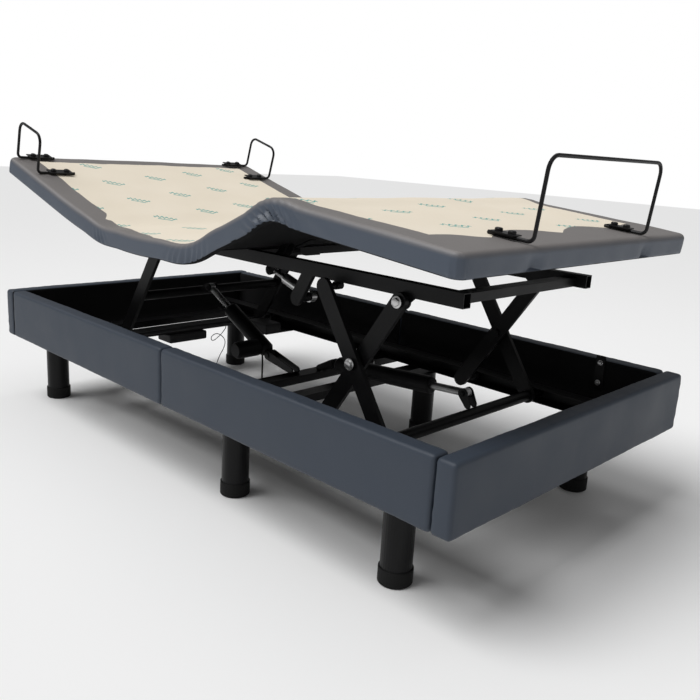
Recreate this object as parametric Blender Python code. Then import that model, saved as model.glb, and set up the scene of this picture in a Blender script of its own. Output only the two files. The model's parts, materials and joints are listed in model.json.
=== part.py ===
"""Adjustable bed base: an upholstered two-piece box on six legs, a scissor lift and a folding deck.

Metres, +Z up.  The origin is on the floor under the middle of the box, +X runs to the foot end
and -Y is the near side.  The deck is shown lifted, with the back and the thigh sections raised.
"""
import math

import bpy
import bmesh
from mathutils import Vector

for old in list(bpy.data.objects):
    bpy.data.objects.remove(old, do_unlink=True)

# ------------------------------------------------------------------ driving dimensions
GAP = 0.0003                    # between touching pieces

BOX_LENGTH = 2.030
BOX_WIDTH = 1.070
BOX_HEIGHT = 0.167
BOX_BOTTOM = 0.228
BOARD_THICKNESS = 0.052         # upholstered box board
BOX_EDGE = 0.012                # rounding of the padded edges

LEG_RADIUS = 0.038
LEG_WALL = 0.0025
LEG_INSET_Y = 0.124             # from the box side to the leg's axis
LEG_X = (-0.885, 0.19, 0.79)
CAP_WALL = 0.0035
CAP_HEIGHT = 0.040
CAP_SOLE = 0.006

TUBE_HEIGHT = 0.025             # flat cross tubes of the base
TUBE_WIDTH = 0.050
TUBE_WALL = 0.002
CONTROL_TUBE_X = -0.74
RAIL_BOTTOM = 0.250             # base rails, open to the inside
RAIL_HEIGHT = 0.045
RAIL_DEPTH = 0.050
RAIL_WALL = 0.003
RAIL_WEB_Y = 0.395
RAIL_END_CLEARANCE = 0.030      # from the rail's end to the end board

ARM_LENGTH = 0.416              # between an arm's end pivots
ARM_WIDTH = 0.045
ARM_THICKNESS = 0.012
INNER_ARM_Y = 0.296             # inner face of the inner arms
ARM_SPACE = 0.010               # between the inner and the outer arms
PIVOT_RADIUS = 0.008
PIVOT_CLEARANCE = 0.0005
SCISSOR_X = 0.650               # fixed lower pivot and the upper pivot above it
HEAD_ARM_X = -0.370
PIVOT_Z = 0.2725
TOP_PIVOT_Z = 0.6185
ROLLER_RADIUS = 0.0190
ROLLER_WIDTH = 0.020
ARM_TUBE_RADIUS = 0.016
WAIST_TUBE_X = 0.030            # carries both lift actuators
HEAD_TUBE_AT = 0.220            # along the head arm from its upper pivot
EAR_GAP = 0.0125                # from an actuator's axis to its ears
EAR_THICKNESS = 0.004
EAR_RADIUS = 0.015
EAR_ROOT = 0.010
EYE_RADIUS = 0.016
EYE_HALF = 0.009
ROD_EYE_RADIUS = 0.014
MOTOR_RADIUS = 0.028
MOTOR_LENGTH = 0.095
MOTOR_AT = 0.045                # from a housing's pivot
GLIDE_RADIUS = 0.0110
WELD = 0.001                    # how far welded shapes sink into each other

LIFT_RAIL_Y = 0.262             # inner face
LIFT_RAIL_THICKNESS = 0.028
LIFT_RAIL_BOTTOM = 0.630
LIFT_RAIL_HEIGHT = 0.035
LIFT_RAIL_WALL = 0.0025
LIFT_RAIL_X = (-0.410, 0.820)
LIFT_TUBE_X = (-0.190, 0.010, 0.770)

DECK_WIDTH = 1.040
DECK_TOP = 0.685
SKIRT_HEIGHT = 0.045
SKIRT_THICKNESS = 0.018
TOP_PADDING = 0.005
BOARD = 0.014                   # deck boards
BACK_HINGE_X = -0.352
THIGH_HINGE_X = 0.100
THIGH_LENGTH = 0.360
FOOT_LENGTH = 0.545
BACK_LENGTH = 0.660
DECK_CORNER = 0.050             # plan rounding of the outer corners
DECK_EDGE = 0.014
BACK_REST = math.radians(16.0)
THIGH_REST = math.radians(25.0)
KNEE_RATIO = -1.216             # knee fold per degree of thigh fold
BACK_MAX = math.radians(65.0)
THIGH_MAX = math.radians(40.0)

KNUCKLE_RADIUS = 0.0073
KNUCKLE_THICKNESS = 0.0028
HINGE_PIN_RADIUS = 0.004
HINGE_AT_Y = 0.150
LEAF_LENGTH = 0.080
LEAF_WIDTH = 0.024
LEVER_ROOT_AT = 0.044           # from a hinge line to an actuator lever's root

WIRE_RADIUS = 0.0045            # mattress retainers
FOOT_LOOP_WIDTH = 0.530
FOOT_LOOP_HEIGHT = 0.176
FOOT_LOOP_INSET = 0.012         # from the deck's foot end
FOOT_LOOP_BASE = 0.112
SIDE_LOOP_WIDTH = 0.157
SIDE_LOOP_HEIGHT = 0.125
SIDE_LOOP_INSET = 0.022
SIDE_LOOP_BASE = 0.130
SIDE_LOOP_FROM_END = 0.030
LOOP_CORNER = 0.030
CLAMP_THICKNESS = 0.003

CORD_RADIUS = 0.0035
LEAD_RADIUS = 0.0016
COIL_MEAN_RADIUS = 0.0415
COIL_CENTRE = Vector((-0.335, 0.130, 0.0))

# ------------------------------------------------------------------ derived places
HALF_LENGTH = BOX_LENGTH / 2
HALF_WIDTH = BOX_WIDTH / 2
BOX_TOP = BOX_BOTTOM + BOX_HEIGHT
INSIDE_X = HALF_LENGTH - BOARD_THICKNESS
INSIDE_Y = HALF_WIDTH - BOARD_THICKNESS
LEG_Y = HALF_WIDTH - LEG_INSET_Y
TUBE_TOP = RAIL_BOTTOM - GAP
TUBE_BOTTOM = TUBE_TOP - TUBE_HEIGHT
LEG_TOP = TUBE_BOTTOM - GAP
RAIL_OPEN_Y = RAIL_WEB_Y - RAIL_DEPTH
OUTER_ARM_Y = INNER_ARM_Y + ARM_THICKNESS + ARM_SPACE
INNER_ARM_FACE = INNER_ARM_Y + ARM_THICKNESS
OUTER_ARM_FACE = OUTER_ARM_Y + ARM_THICKNESS
ARM_REST = math.asin((TOP_PIVOT_Z - PIVOT_Z) / ARM_LENGTH)
ARM_REACH = ARM_LENGTH * math.cos(ARM_REST)
FREE_X = SCISSOR_X - ARM_REACH
LIFT_RAIL_FACE = LIFT_RAIL_Y + LIFT_RAIL_THICKNESS
LIFT_RAIL_TOP = LIFT_RAIL_BOTTOM + LIFT_RAIL_HEIGHT
SKIRT_BOTTOM = DECK_TOP - SKIRT_HEIGHT
BOARD_TOP = DECK_TOP - TOP_PADDING
BOARD_BOTTOM = BOARD_TOP - BOARD
HINGE_Z = BOARD_BOTTOM + WELD / 2 - KNUCKLE_RADIUS
KNEE_X = THIGH_HINGE_X + THIGH_LENGTH
HEAD_END_X = BACK_HINGE_X - BACK_LENGTH
FOOT_END_X = KNEE_X + FOOT_LENGTH


# ------------------------------------------------------------------ materials
def finish(name, colour, roughness, metallic=0.0):
    """A plain Principled material."""
    material = bpy.data.materials.new(name)
    material.use_nodes = True
    shader = material.node_tree.nodes["Principled BSDF"]
    shader.inputs["Base Color"].default_value = (*colour, 1.0)
    shader.inputs["Roughness"].default_value = roughness
    shader.inputs["Metallic"].default_value = metallic
    return material


UPHOLSTERY = dict(colour=(0.075, 0.090, 0.115), roughness=0.55)
DECK_FABRIC = dict(colour=(0.62, 0.57, 0.50), roughness=0.85)
BLACK_STEEL = dict(colour=(0.012, 0.012, 0.013), roughness=0.42, metallic=0.3)
BLACK_PLASTIC = dict(colour=(0.015, 0.015, 0.016), roughness=0.5)
ZINC = dict(colour=(0.62, 0.63, 0.65), roughness=0.3, metallic=1.0)
PLYWOOD = dict(colour=(0.42, 0.30, 0.18), roughness=0.7)


# ------------------------------------------------------------------ shape helpers
def cuboid(bm, low, high):
    """Add a box between two corners and return its vertices."""
    made = bmesh.ops.create_cube(bm, size=1.0)["verts"]
    low, high = Vector(low), Vector(high)
    for vertex in made:
        for axis in range(3):
            middle = (low[axis] + high[axis]) / 2
            vertex.co[axis] = middle + vertex.co[axis] * (high[axis] - low[axis])
    return made


def plate(bm, outline, start, end, axis="Y", holes=()):
    """Extrude an outline, with holes, between two places on an axis.

    Outline points are (x, z) for axis Y, (y, z) for axis X and (x, y) for axis Z.
    """
    def place(point, level):
        a, b = point
        return {"X": (level, a, b), "Y": (a, level, b), "Z": (a, b, level)}[axis]

    edges = []
    for loop in (outline, *holes):
        ring = [bm.verts.new(place(point, start)) for point in loop]
        edges += [bm.edges.new((ring[i - 1], ring[i])) for i in range(len(ring))]
    if holes:
        filled = bmesh.ops.triangle_fill(bm, use_beauty=True, edges=edges)
        faces = [item for item in filled["geom"] if isinstance(item, bmesh.types.BMFace)]
    else:
        faces = bmesh.ops.contextual_create(bm, geom=edges)["faces"]
    grown = bmesh.ops.extrude_face_region(bm, geom=faces, use_keep_orig=True)["geom"]
    moved = [item for item in grown if isinstance(item, bmesh.types.BMVert)]
    shift = Vector(place((0.0, 0.0), end)) - Vector(place((0.0, 0.0), start))
    bmesh.ops.translate(bm, verts=moved, vec=shift)


def circle(centre, radius, count=20, start=0.0, sweep=2 * math.pi):
    """Points of a circle or, with a sweep, of an arc with both its ends."""
    closed = abs(sweep - 2 * math.pi) < 1e-9
    steps = count if closed else count - 1
    return [(centre[0] + radius * math.cos(start + sweep * i / steps),
             centre[1] + radius * math.sin(start + sweep * i / steps)) for i in range(count)]


def strap(a, radius_a, b, radius_b, count=9):
    """Outline of a tapered bar with round ends about points a and b."""
    angle = math.atan2(b[1] - a[1], b[0] - a[0])
    lean = math.acos((radius_a - radius_b) / math.dist(a, b))
    far = circle(b, radius_b, count, angle - lean, 2 * lean)
    near = circle(a, radius_a, count, angle + lean, 2 * (math.pi - lean))
    return far + near


def turned(bm, profile, origin, direction, segments=20):
    """Turn (distance, radius) points about a line; the profile runs round one closed section."""
    origin, direction = Vector(origin), Vector(direction).normalized()
    side = direction.orthogonal().normalized()
    other = direction.cross(side)
    rings = []
    for distance, radius in profile:
        centre = origin + direction * distance
        if radius == 0.0:
            rings.append([bm.verts.new(centre)])
            continue
        ring = []
        for i in range(segments):
            turn = 2 * math.pi * i / segments
            ring.append(bm.verts.new(centre + radius * (side * math.cos(turn) + other * math.sin(turn))))
        rings.append(ring)
    pairs = list(zip(rings, rings[1:]))
    if len(rings[0]) > 1 and len(rings[-1]) > 1:
        pairs.append((rings[-1], rings[0]))
    for first, second in pairs:
        for i in range(segments):
            j = (i + 1) % segments
            if len(first) == 1 and len(second) == 1:
                continue
            if len(first) == 1:
                bm.faces.new((first[0], second[i], second[j]))
            elif len(second) == 1:
                bm.faces.new((first[i], first[j], second[0]))
            else:
                bm.faces.new((first[i], first[j], second[j], second[i]))


def rod(bm, start, end, radius, segments=16):
    """A plain round bar."""
    start, end = Vector(start), Vector(end)
    length = (end - start).length
    turned(bm, [(0, 0), (0, radius), (length, radius), (length, 0)], start, end - start, segments)


def ring(bm, start, end, radius, bore, segments=20):
    """A round bush or an open tube."""
    start, end = Vector(start), Vector(end)
    length = (end - start).length
    profile = [(0, bore), (0, radius), (length, radius), (length, bore)]
    turned(bm, profile, start, end - start, segments)


def bolt_head(bm, centre, direction, radius=0.011, height=0.006):
    """A washer with a domed head on it."""
    profile = [(0, 0), (0, radius * 1.45), (0.0018, radius * 1.45), (0.0018, radius),
               (height * 0.7, radius), (height, radius * 0.6), (height, 0)]
    turned(bm, profile, centre, direction, 18)


def hollow_bar(bm, low, high, wall, axis):
    """A rectangular tube, open at both ends, along X or Y."""
    low, high = Vector(low), Vector(high)
    across = 1 if axis == "X" else 0
    along = 1 - across
    outline = [(low[across], low.z), (high[across], low.z), (high[across], high.z), (low[across], high.z)]
    inner = [(low[across] + wall, low.z + wall), (high[across] - wall, low.z + wall),
             (high[across] - wall, high.z - wall), (low[across] + wall, high.z - wall)]
    plate(bm, outline, low[along], high[along], axis, [inner])


def empty(name, place, parent=None, turn=(0, 0, 0)):
    """A joint frame that pieces hang on; its place is given in its parent's frame."""
    joint = bpy.data.objects.new(name, None)
    bpy.context.scene.collection.objects.link(joint)
    joint.empty_display_size = 0.05
    joint.parent = parent
    joint.location = place
    joint.rotation_euler = turn
    return joint


def make_object(name, bm, looks, parent, place, angle):
    """Make an object from a mesh, with its faces out."""
    bmesh.ops.recalc_face_normals(bm, faces=bm.faces)
    mesh = bpy.data.meshes.new(name)
    bm.to_mesh(mesh)
    bm.free()
    piece = bpy.data.objects.new(name, mesh)
    bpy.context.scene.collection.objects.link(piece)
    piece.parent = parent
    piece.location = place
    mesh.materials.append(finish(name, **looks))
    mesh.shade_smooth()
    mesh.set_sharp_from_angle(angle=math.radians(angle))
    return piece


def add(name, bm, looks, parent=None, place=(0, 0, 0), angle=40.0, fused=(), cut=()):
    """Make the object of one sub-part, with further shapes welded to it or cut from it."""
    piece = make_object(name, bm, looks, parent, place, angle)
    work = [("UNION", extra) for extra in fused] + [("DIFFERENCE", extra) for extra in cut]
    for number, (operation, extra) in enumerate(work):
        helper = make_object("%s_shape_%d" % (name, number), extra, looks, parent, place, angle)
        helper.hide_render = True
        helper.display_type = "WIRE"
        step = piece.modifiers.new(helper.name, "BOOLEAN")
        step.operation = operation
        step.object = helper
    return piece


def shape(builder, *values, **named):
    """One separate mesh made by a builder function."""
    bm = bmesh.new()
    builder(bm, *values, **named)
    return bm


def round_edges(bm, edges, width, segments=3):
    """Round chosen edges."""
    bmesh.ops.bevel(bm, geom=list(edges), offset=width, segments=segments, profile=0.5,
                    affect="EDGES", clamp_overlap=True)


def arm_point(origin, angle, along, across=0.0):
    """A place on an arm: along its length and to its left side."""
    return (origin[0] + along * math.cos(angle) - across * math.sin(angle),
            origin[1] + along * math.sin(angle) + across * math.cos(angle))


SIDES = (("near", -1), ("far", 1))


# ------------------------------------------------------------------ upholstered box
def box_board(name, low, high):
    """One padded board of the box, rounded along its top and bottom edges."""
    bm = bmesh.new()
    cuboid(bm, low, high)
    round_edges(bm, bm.edges, BOX_EDGE)
    add(name, bm, UPHOLSTERY)


def build_box():
    for side, s in SIDES:
        inner, outer = s * INSIDE_Y, s * HALF_WIDTH
        y0, y1 = min(inner, outer), max(inner, outer)
        box_board("side_board_%s_head" % side, (-INSIDE_X + GAP, y0, BOX_BOTTOM), (-GAP / 2, y1, BOX_TOP))
        box_board("side_board_%s_foot" % side, (GAP / 2, y0, BOX_BOTTOM), (INSIDE_X - GAP, y1, BOX_TOP))
    box_board("end_board_head", (-HALF_LENGTH, -HALF_WIDTH, BOX_BOTTOM), (-INSIDE_X, HALF_WIDTH, BOX_TOP))
    box_board("end_board_foot", (INSIDE_X, -HALF_WIDTH, BOX_BOTTOM), (HALF_LENGTH, HALF_WIDTH, BOX_TOP))


# ------------------------------------------------------------------ base frame and legs
def pin_between(bm, x, z, start_y, end_y, radius, collars=()):
    """A stepped pin along Y; each collar is (distance from the start, its end, its radius)."""
    length = abs(end_y - start_y)
    profile = [(0, 0)]
    at = 0.0
    for begin, stop, wide in collars:
        if begin > 0:
            profile += [(at, radius), (begin, radius)]
        profile += [(begin, wide), (stop, wide)]
        at = stop
    if length - at > 0.0001:
        profile += [(at, radius), (length, radius)]
    profile.append((length, 0))
    turned(bm, profile, (x, start_y, z), (0, 1 if end_y > start_y else -1, 0), 18)


def build_base_frame():
    top, wall = RAIL_BOTTOM + RAIL_HEIGHT, RAIL_WALL
    reach = INSIDE_X - RAIL_END_CLEARANCE
    for side, s in SIDES:
        web, lip = s * RAIL_WEB_Y, s * RAIL_OPEN_Y
        outline = [(lip, RAIL_BOTTOM), (web, RAIL_BOTTOM), (web, top), (lip, top),
                   (lip, top - wall), (web - s * wall, top - wall),
                   (web - s * wall, RAIL_BOTTOM + wall), (lip, RAIL_BOTTOM + wall)]
        inner, outer = OUTER_ARM_Y - 0.0045, RAIL_WEB_Y - WELD
        boss = OUTER_ARM_FACE + 0.002 - inner
        pin = shape(pin_between, SCISSOR_X, PIVOT_Z, s * inner, s * outer, PIVOT_RADIUS,
                    [(0, 0.004, 0.012), (boss, outer - inner, 0.014)])
        rail = shape(plate, outline, -reach, reach, "X")
        add("base_rail_" + side, rail, BLACK_STEEL, fused=[pin])
    places = (("head", LEG_X[0]), ("control", CONTROL_TUBE_X), ("waist", WAIST_TUBE_X),
              ("middle", LEG_X[1]), ("foot", LEG_X[2]))
    for place, x in places:
        tube = shape(hollow_bar, (x - TUBE_WIDTH / 2, -INSIDE_Y + GAP, TUBE_BOTTOM),
                     (x + TUBE_WIDTH / 2, INSIDE_Y - GAP, TUBE_TOP), TUBE_WALL, "Y")
        fused = []
        if place == "waist":
            for pivot, y, s in ((FOOT_LIFT_BASE, FOOT_LIFT_Y, 1), (HEAD_LIFT_BASE, HEAD_LIFT_Y, -1)):
                root = (x + s * TUBE_WIDTH / 4, TUBE_TOP - TUBE_WALL / 2 + EAR_ROOT)
                fused += ears(pivot, root, y) + [shape(pivot_pin, pivot, y)]
        add("base_tube_" + place, tube, BLACK_STEEL, fused=fused)


def build_legs():
    bore, foot = LEG_RADIUS - LEG_WALL, LEG_RADIUS + CAP_WALL
    profile = [(0, 0), (0, foot - 0.003), (0.003, foot), (CAP_HEIGHT - 0.002, foot), (CAP_HEIGHT, foot - 0.002),
               (CAP_HEIGHT, LEG_RADIUS), (LEG_TOP, LEG_RADIUS), (LEG_TOP, bore), (CAP_SOLE, bore), (CAP_SOLE, 0)]
    for place, x in zip(("head", "middle", "foot"), LEG_X):
        for side, s in SIDES:
            leg = shape(turned, profile, (x, s * LEG_Y, 0), (0, 0, 1), 32)
            add("leg_%s_%s" % (side, place), leg, BLACK_STEEL)


# ------------------------------------------------------------------ actuators
def actuator(label, base, tip, y, body_radius, rod_radius, body_length, rod_start, motor_side,
             looks=BLACK_STEEL):
    """A linear actuator between two pivots: a housing with its motor, and a rod that slides in it."""
    angle = math.atan2(tip[1] - base[1], tip[0] - base[0])
    length = math.dist(base, tip)
    swing = empty(label + "_pivot", (base[0], y, base[1]), None, (0, -angle, 0))
    bore = rod_radius + 0.001
    start = EYE_RADIUS - WELD
    profile = [(start, 0), (start, body_radius * 0.7), (start + 0.012, body_radius),
               (body_length - 0.006, body_radius), (body_length, body_radius - 0.004),
               (body_length, bore), (start + 0.030, bore), (start + 0.030, 0)]
    body = shape(turned, profile, (0, 0, 0), (1, 0, 0), 20)
    fused = [shape(ring, (0, -EYE_HALF, 0), (0, EYE_HALF, 0), EYE_RADIUS, PIVOT_RADIUS + PIVOT_CLEARANCE)]
    if motor_side:
        reach = motor_side * (body_radius - 4 * WELD)
        motor = [(0, 0), (0, 0.020), (0.006, MOTOR_RADIUS), (MOTOR_LENGTH - 0.010, MOTOR_RADIUS),
                 (MOTOR_LENGTH, MOTOR_RADIUS - 0.006), (MOTOR_LENGTH, 0)]
        fused.append(shape(turned, motor, (MOTOR_AT, reach, 0), (0, motor_side, 0), 24))
    add(label + "_housing", body, looks, swing, fused=fused)
    bar = shape(rod, (rod_start, 0, 0), (length - ROD_EYE_RADIUS + WELD, 0, 0), rod_radius)
    eye = shape(ring, (length, -EYE_HALF, 0), (length, EYE_HALF, 0), ROD_EYE_RADIUS, 0.006)
    add(label + "_rod", bar, ZINC, swing, fused=[eye])


def ears(pivot, root, y, pivot_radius=None, root_radius=None):
    """Two plates on either side of a pivot, reaching to what carries them."""
    outline = strap(root, root_radius or EAR_ROOT, pivot, pivot_radius or EAR_RADIUS)
    plates = []
    for s in (-1, 1):
        y0, y1 = sorted((y + s * EAR_GAP, y + s * EAR_OUT))
        plates.append(shape(plate, outline, y0, y1, "Y"))
    return plates


def hole(point):
    """Outline of a pivot hole."""
    return circle(point, PIVOT_RADIUS + PIVOT_CLEARANCE, 16)


def pivot_pin(bm, pivot, y):
    """A clevis pin through two ears, with a head at each end."""
    half, head = EAR_OUT + 0.003, 0.010
    pin_between(bm, pivot[0], pivot[1], y - half, y + half, PIVOT_RADIUS,
                [(0, 0.0035, head), (2 * half - 0.0035, 2 * half, head)])


def ear_bolts(pivot, y):
    """Bolt heads outside two ears, with nothing between the ears."""
    heads = []
    for s in (-1, 1):
        centre = (pivot[0], y + s * (EAR_OUT - WELD), pivot[1])
        heads.append(shape(bolt_head, centre, (0, s, 0), 0.008))
    return heads


# ------------------------------------------------------------------ scissor lift
P_BASE = (SCISSOR_X, PIVOT_Z)
P_TOP = (SCISSOR_X, TOP_PIVOT_Z)
P_CROSS = (SCISSOR_X - ARM_REACH / 2, (PIVOT_Z + TOP_PIVOT_Z) / 2)
P_INNER_END = (FREE_X, PIVOT_Z)
P_OUTER_END = (FREE_X, TOP_PIVOT_Z)
P_HEAD_TOP = (HEAD_ARM_X, TOP_PIVOT_Z)
P_HEAD_END = (HEAD_ARM_X - ARM_REACH, PIVOT_Z)
EAR_OUT = EAR_GAP + EAR_THICKNESS

# actuator pivots
FOOT_LIFT_BASE = (0.100, 0.2840)
FOOT_LIFT_Y = 0.050
FOOT_LIFT_TIP = arm_point(P_BASE, math.pi - ARM_REST, 0.060)
HEAD_LIFT_BASE = (-0.100, 0.2840)
HEAD_LIFT_Y = -0.050
HEAD_LIFT_TIP = arm_point(P_HEAD_TOP, math.pi + ARM_REST, 0.172, 0.036)
BACK_BASE = (-0.085, 0.588)
BACK_TIP = (-0.365, 0.604)
LEG_BASE = (0.245, 0.553)
LEG_TIP = (0.080, 0.604)
LEG_ACTUATOR_Y = -0.205


def local(point, joint):
    """A point of the side view, from a joint's own place."""
    return (point[0] - joint.location.x, point[1] - joint.location.z)


def flat_arm(start, end, holes, side_sign, inner_y):
    """A flat bar between two pivots of the side view, in one arm plane."""
    y0, y1 = sorted((side_sign * inner_y, side_sign * (inner_y + ARM_THICKNESS)))
    outline = strap(start, ARM_WIDTH / 2, end, ARM_WIDTH / 2)
    return shape(plate, outline, y0, y1, "Y", [hole(point) for point in holes])


def arm_tube(name, joint, centre, reach, tip, y):
    """A cross tube between two arms, with the ears that an actuator pushes on."""
    x, z = local(centre, joint)
    tube = shape(ring, (x, -reach, z), (x, reach, z), ARM_TUBE_RADIUS, ARM_TUBE_RADIUS - TUBE_WALL, 20)
    away = (Vector(tip) - Vector(centre)).normalized()
    root = Vector(centre) + away * (ARM_TUBE_RADIUS - TUBE_WALL / 2 + EAR_ROOT)
    fused = ears(local(tip, joint), local(root, joint), y) + ear_bolts(local(tip, joint), y)
    add(name, tube, BLACK_STEEL, joint, fused=fused)


def build_lift():
    lift = empty("lift_axis", (SCISSOR_X, 0, PIVOT_Z))
    cross = empty("cross_axis", (P_CROSS[0], 0, P_CROSS[1]))
    head = empty("head_arm_axis", (HEAD_ARM_X, 0, TOP_PIVOT_Z))
    roller_pin = PIVOT_RADIUS - 0.001
    for side, s in SIDES:
        # outer arm: lower pivot, crossing bolt, and a glide that runs under the lift rail
        base, end, crossing = (local(p, lift) for p in (P_BASE, P_OUTER_END, P_CROSS))
        arm = flat_arm(base, end, [base], s, OUTER_ARM_Y)
        inner, outer = s * (INNER_ARM_Y - 0.007), s * (OUTER_ARM_FACE + 0.008)
        span = abs(outer - inner)
        bolt = shape(pin_between, *crossing, inner, outer, PIVOT_RADIUS,
                     [(0, 0.006, 0.012), (span - 0.0085, span, 0.014)])
        inner, outer = s * (LIFT_RAIL_Y + 0.003), s * (OUTER_ARM_Y + WELD)
        span = abs(outer - inner)
        glide = shape(pin_between, *end, inner, outer, 0.007, [(0, 0.022, GLIDE_RADIUS)])
        add("outer_arm_" + side, arm, BLACK_STEEL, lift, fused=[bolt, glide])
        # inner arm: lower end on a roller in the base rail, upper end on the lift frame
        low, top, crossing = (local(p, cross) for p in (P_INNER_END, P_TOP, P_CROSS))
        arm = flat_arm(low, top, [top, crossing], s, INNER_ARM_Y)
        pin = shape(pin_between, *low, s * (INNER_ARM_FACE - WELD), s * (RAIL_OPEN_Y + 0.038), roller_pin)
        add("inner_arm_" + side, arm, BLACK_STEEL, cross, fused=[pin])
        # head arm: upper end on the lift frame, lower end on the roller axle
        top, low = (local(p, head) for p in (P_HEAD_TOP, P_HEAD_END))
        add("head_arm_" + side, flat_arm(top, low, [top, low], s, INNER_ARM_Y), BLACK_STEEL, head)
        # foot roller
        start = s * (RAIL_OPEN_Y + 0.012)
        bore = roller_pin + PIVOT_CLEARANCE
        profile = [(0, bore), (0, ROLLER_RADIUS - 0.001), (0.001, ROLLER_RADIUS),
                   (ROLLER_WIDTH - 0.001, ROLLER_RADIUS), (ROLLER_WIDTH, ROLLER_RADIUS - 0.001),
                   (ROLLER_WIDTH, bore)]
        roller = shape(turned, profile, (0, start, 0), (0, s, 0), 24)
        add("base_roller_" + side, roller, BLACK_PLASTIC, None, (P_INNER_END[0], 0, P_INNER_END[1]))
    # the head arms' rollers turn with one axle
    reach = RAIL_OPEN_Y + 0.038
    edge = 0.026
    axle = shape(pin_between, 0, 0, -reach, reach, roller_pin,
                 [(edge - ROLLER_WIDTH, edge, ROLLER_RADIUS),
                  (2 * reach - edge, 2 * reach - edge + ROLLER_WIDTH, ROLLER_RADIUS)])
    add("head_roller_axle", axle, BLACK_PLASTIC, None, (P_HEAD_END[0], 0, P_HEAD_END[1]))
    arm_tube("outer_arm_tube", lift, P_BASE, OUTER_ARM_Y - GAP, FOOT_LIFT_TIP, FOOT_LIFT_Y)
    head_tube = arm_point(P_HEAD_TOP, math.pi + ARM_REST, HEAD_TUBE_AT)
    arm_tube("head_arm_tube", head, head_tube, INNER_ARM_Y - GAP, HEAD_LIFT_TIP, HEAD_LIFT_Y)


# ------------------------------------------------------------------ lift frame
def leg_strut():
    """The drop strut of the leg actuator, on the near rail's inner face, with its pin and spacer."""
    width, thick = 0.040, 0.012
    end = Vector(LEG_BASE)
    head = Vector((0.300, LIFT_RAIL_TOP - 0.018))
    along = (end - head).normalized()
    across = Vector((-along.y, along.x)) * width / 2
    tail = circle(end, width / 2, 9, math.atan2(along.y, along.x) - math.pi / 2, math.pi)
    face = -(LIFT_RAIL_Y + WELD)
    strut = shape(plate, [tuple(head + across), tuple(head - across)] + tail, face, face + thick, "Y")
    start = face + thick - WELD
    spacer = LEG_ACTUATOR_Y - EAR_GAP - start
    reach = LEG_ACTUATOR_Y + EAR_GAP + 0.004 - start
    pin = shape(pin_between, *LEG_BASE, start, start + reach, PIVOT_RADIUS,
                [(0, spacer, 0.013), (reach - 0.003, reach, 0.012)])
    return [strut, pin]


def build_lift_frame():
    for side, s in SIDES:
        y0, y1 = sorted((s * LIFT_RAIL_Y, s * LIFT_RAIL_FACE))
        rail = shape(hollow_bar, (LIFT_RAIL_X[0], y0, LIFT_RAIL_BOTTOM), (LIFT_RAIL_X[1], y1, LIFT_RAIL_TOP),
                     LIFT_RAIL_WALL, "X")
        fused = []
        for x in (SCISSOR_X, HEAD_ARM_X):
            # a bracket hangs from the rail inside the arm, and its pin carries the arm
            p0, p1 = sorted((s * (LIFT_RAIL_FACE - 0.006), s * (LIFT_RAIL_FACE - 0.0001)))
            drop = circle((x, TOP_PIVOT_Z), 0.020, 11, math.pi, math.pi)
            top = LIFT_RAIL_BOTTOM + WELD
            fused.append(shape(plate, [(x + 0.034, top), (x - 0.034, top)] + drop, p0, p1, "Y"))
            start, end = s * (LIFT_RAIL_FACE - 0.009), s * (INNER_ARM_FACE + 0.0055)
            span = abs(end - start)
            collars = [(0, 0.004, 0.012), (span - 0.0045, span, 0.013)]
            fused.append(shape(pin_between, x, TOP_PIVOT_Z, start, end, PIVOT_RADIUS, collars))
        if side == "near":
            fused += leg_strut()
        add("lift_rail_" + side, rail, BLACK_STEEL, fused=fused)
    tubes = [shape(hollow_bar, (x - 0.020, -LIFT_RAIL_Y + GAP, LIFT_RAIL_BOTTOM + 0.002),
                   (x + 0.020, LIFT_RAIL_Y - GAP, LIFT_RAIL_TOP - 0.010), TUBE_WALL, "Y")
             for x in LIFT_TUBE_X]
    # the carrier of the back actuator: two tubes with a tray between them
    tray_top, thick = LIFT_RAIL_BOTTOM + 0.002 + WELD, 0.005
    tray = shape(cuboid, (LIFT_TUBE_X[0] - 0.018, -0.030, tray_top - thick),
                 (LIFT_TUBE_X[1] + 0.018, 0.030, tray_top))
    root = (BACK_BASE[0], tray_top - thick + WELD - EAR_ROOT)
    fused = [tray, tubes[1]] + ears(BACK_BASE, root, 0.0) + [shape(pivot_pin, BACK_BASE, 0.0)]
    add("back_actuator_carrier", tubes[0], BLACK_STEEL, fused=fused)
    add("lift_tube_foot", tubes[2], BLACK_STEEL)


# ------------------------------------------------------------------ deck sections
def deck_outline(x0, x1, round_low, round_high):
    """Plan outline of a section, with its outer corners rounded."""
    half = DECK_WIDTH / 2
    r = DECK_CORNER
    points = []
    if round_low:
        points += circle((x0 + r, -half + r), r, 7, math.pi, math.pi / 2)
    else:
        points += [(x0, -half)]
    if round_high:
        points += circle((x1 - r, -half + r), r, 7, -math.pi / 2, math.pi / 2)
        points += circle((x1 - r, half - r), r, 7, 0.0, math.pi / 2)
    else:
        points += [(x1, -half), (x1, half)]
    if round_low:
        points += circle((x0 + r, half - r), r, 7, math.pi / 2, math.pi / 2)
    else:
        points += [(x0, half)]
    return points


def cut_at_hinge(bm, x, side, above, below):
    """Trim a section beside a hinge line; side is +1 for material on the +X side.

    Above the axis the end leans back by the angle above, and below the axis by the angle below.
    """
    clear = 0.0012
    for angle, up in ((above, 1), (below, -1)):
        if angle == 0.0:
            continue
        normal = Vector((-side * math.cos(angle), 0, up * math.sin(angle)))
        geometry = bm.verts[:] + bm.edges[:] + bm.faces[:]
        made = bmesh.ops.bisect_plane(bm, geom=geometry, plane_co=(x + side * clear, 0, HINGE_Z),
                                      plane_no=normal, clear_outer=True, dist=1e-7)
        rim = [item for item in made["geom_cut"] if isinstance(item, bmesh.types.BMEdge)]
        bmesh.ops.contextual_create(bm, geom=rim)


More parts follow.
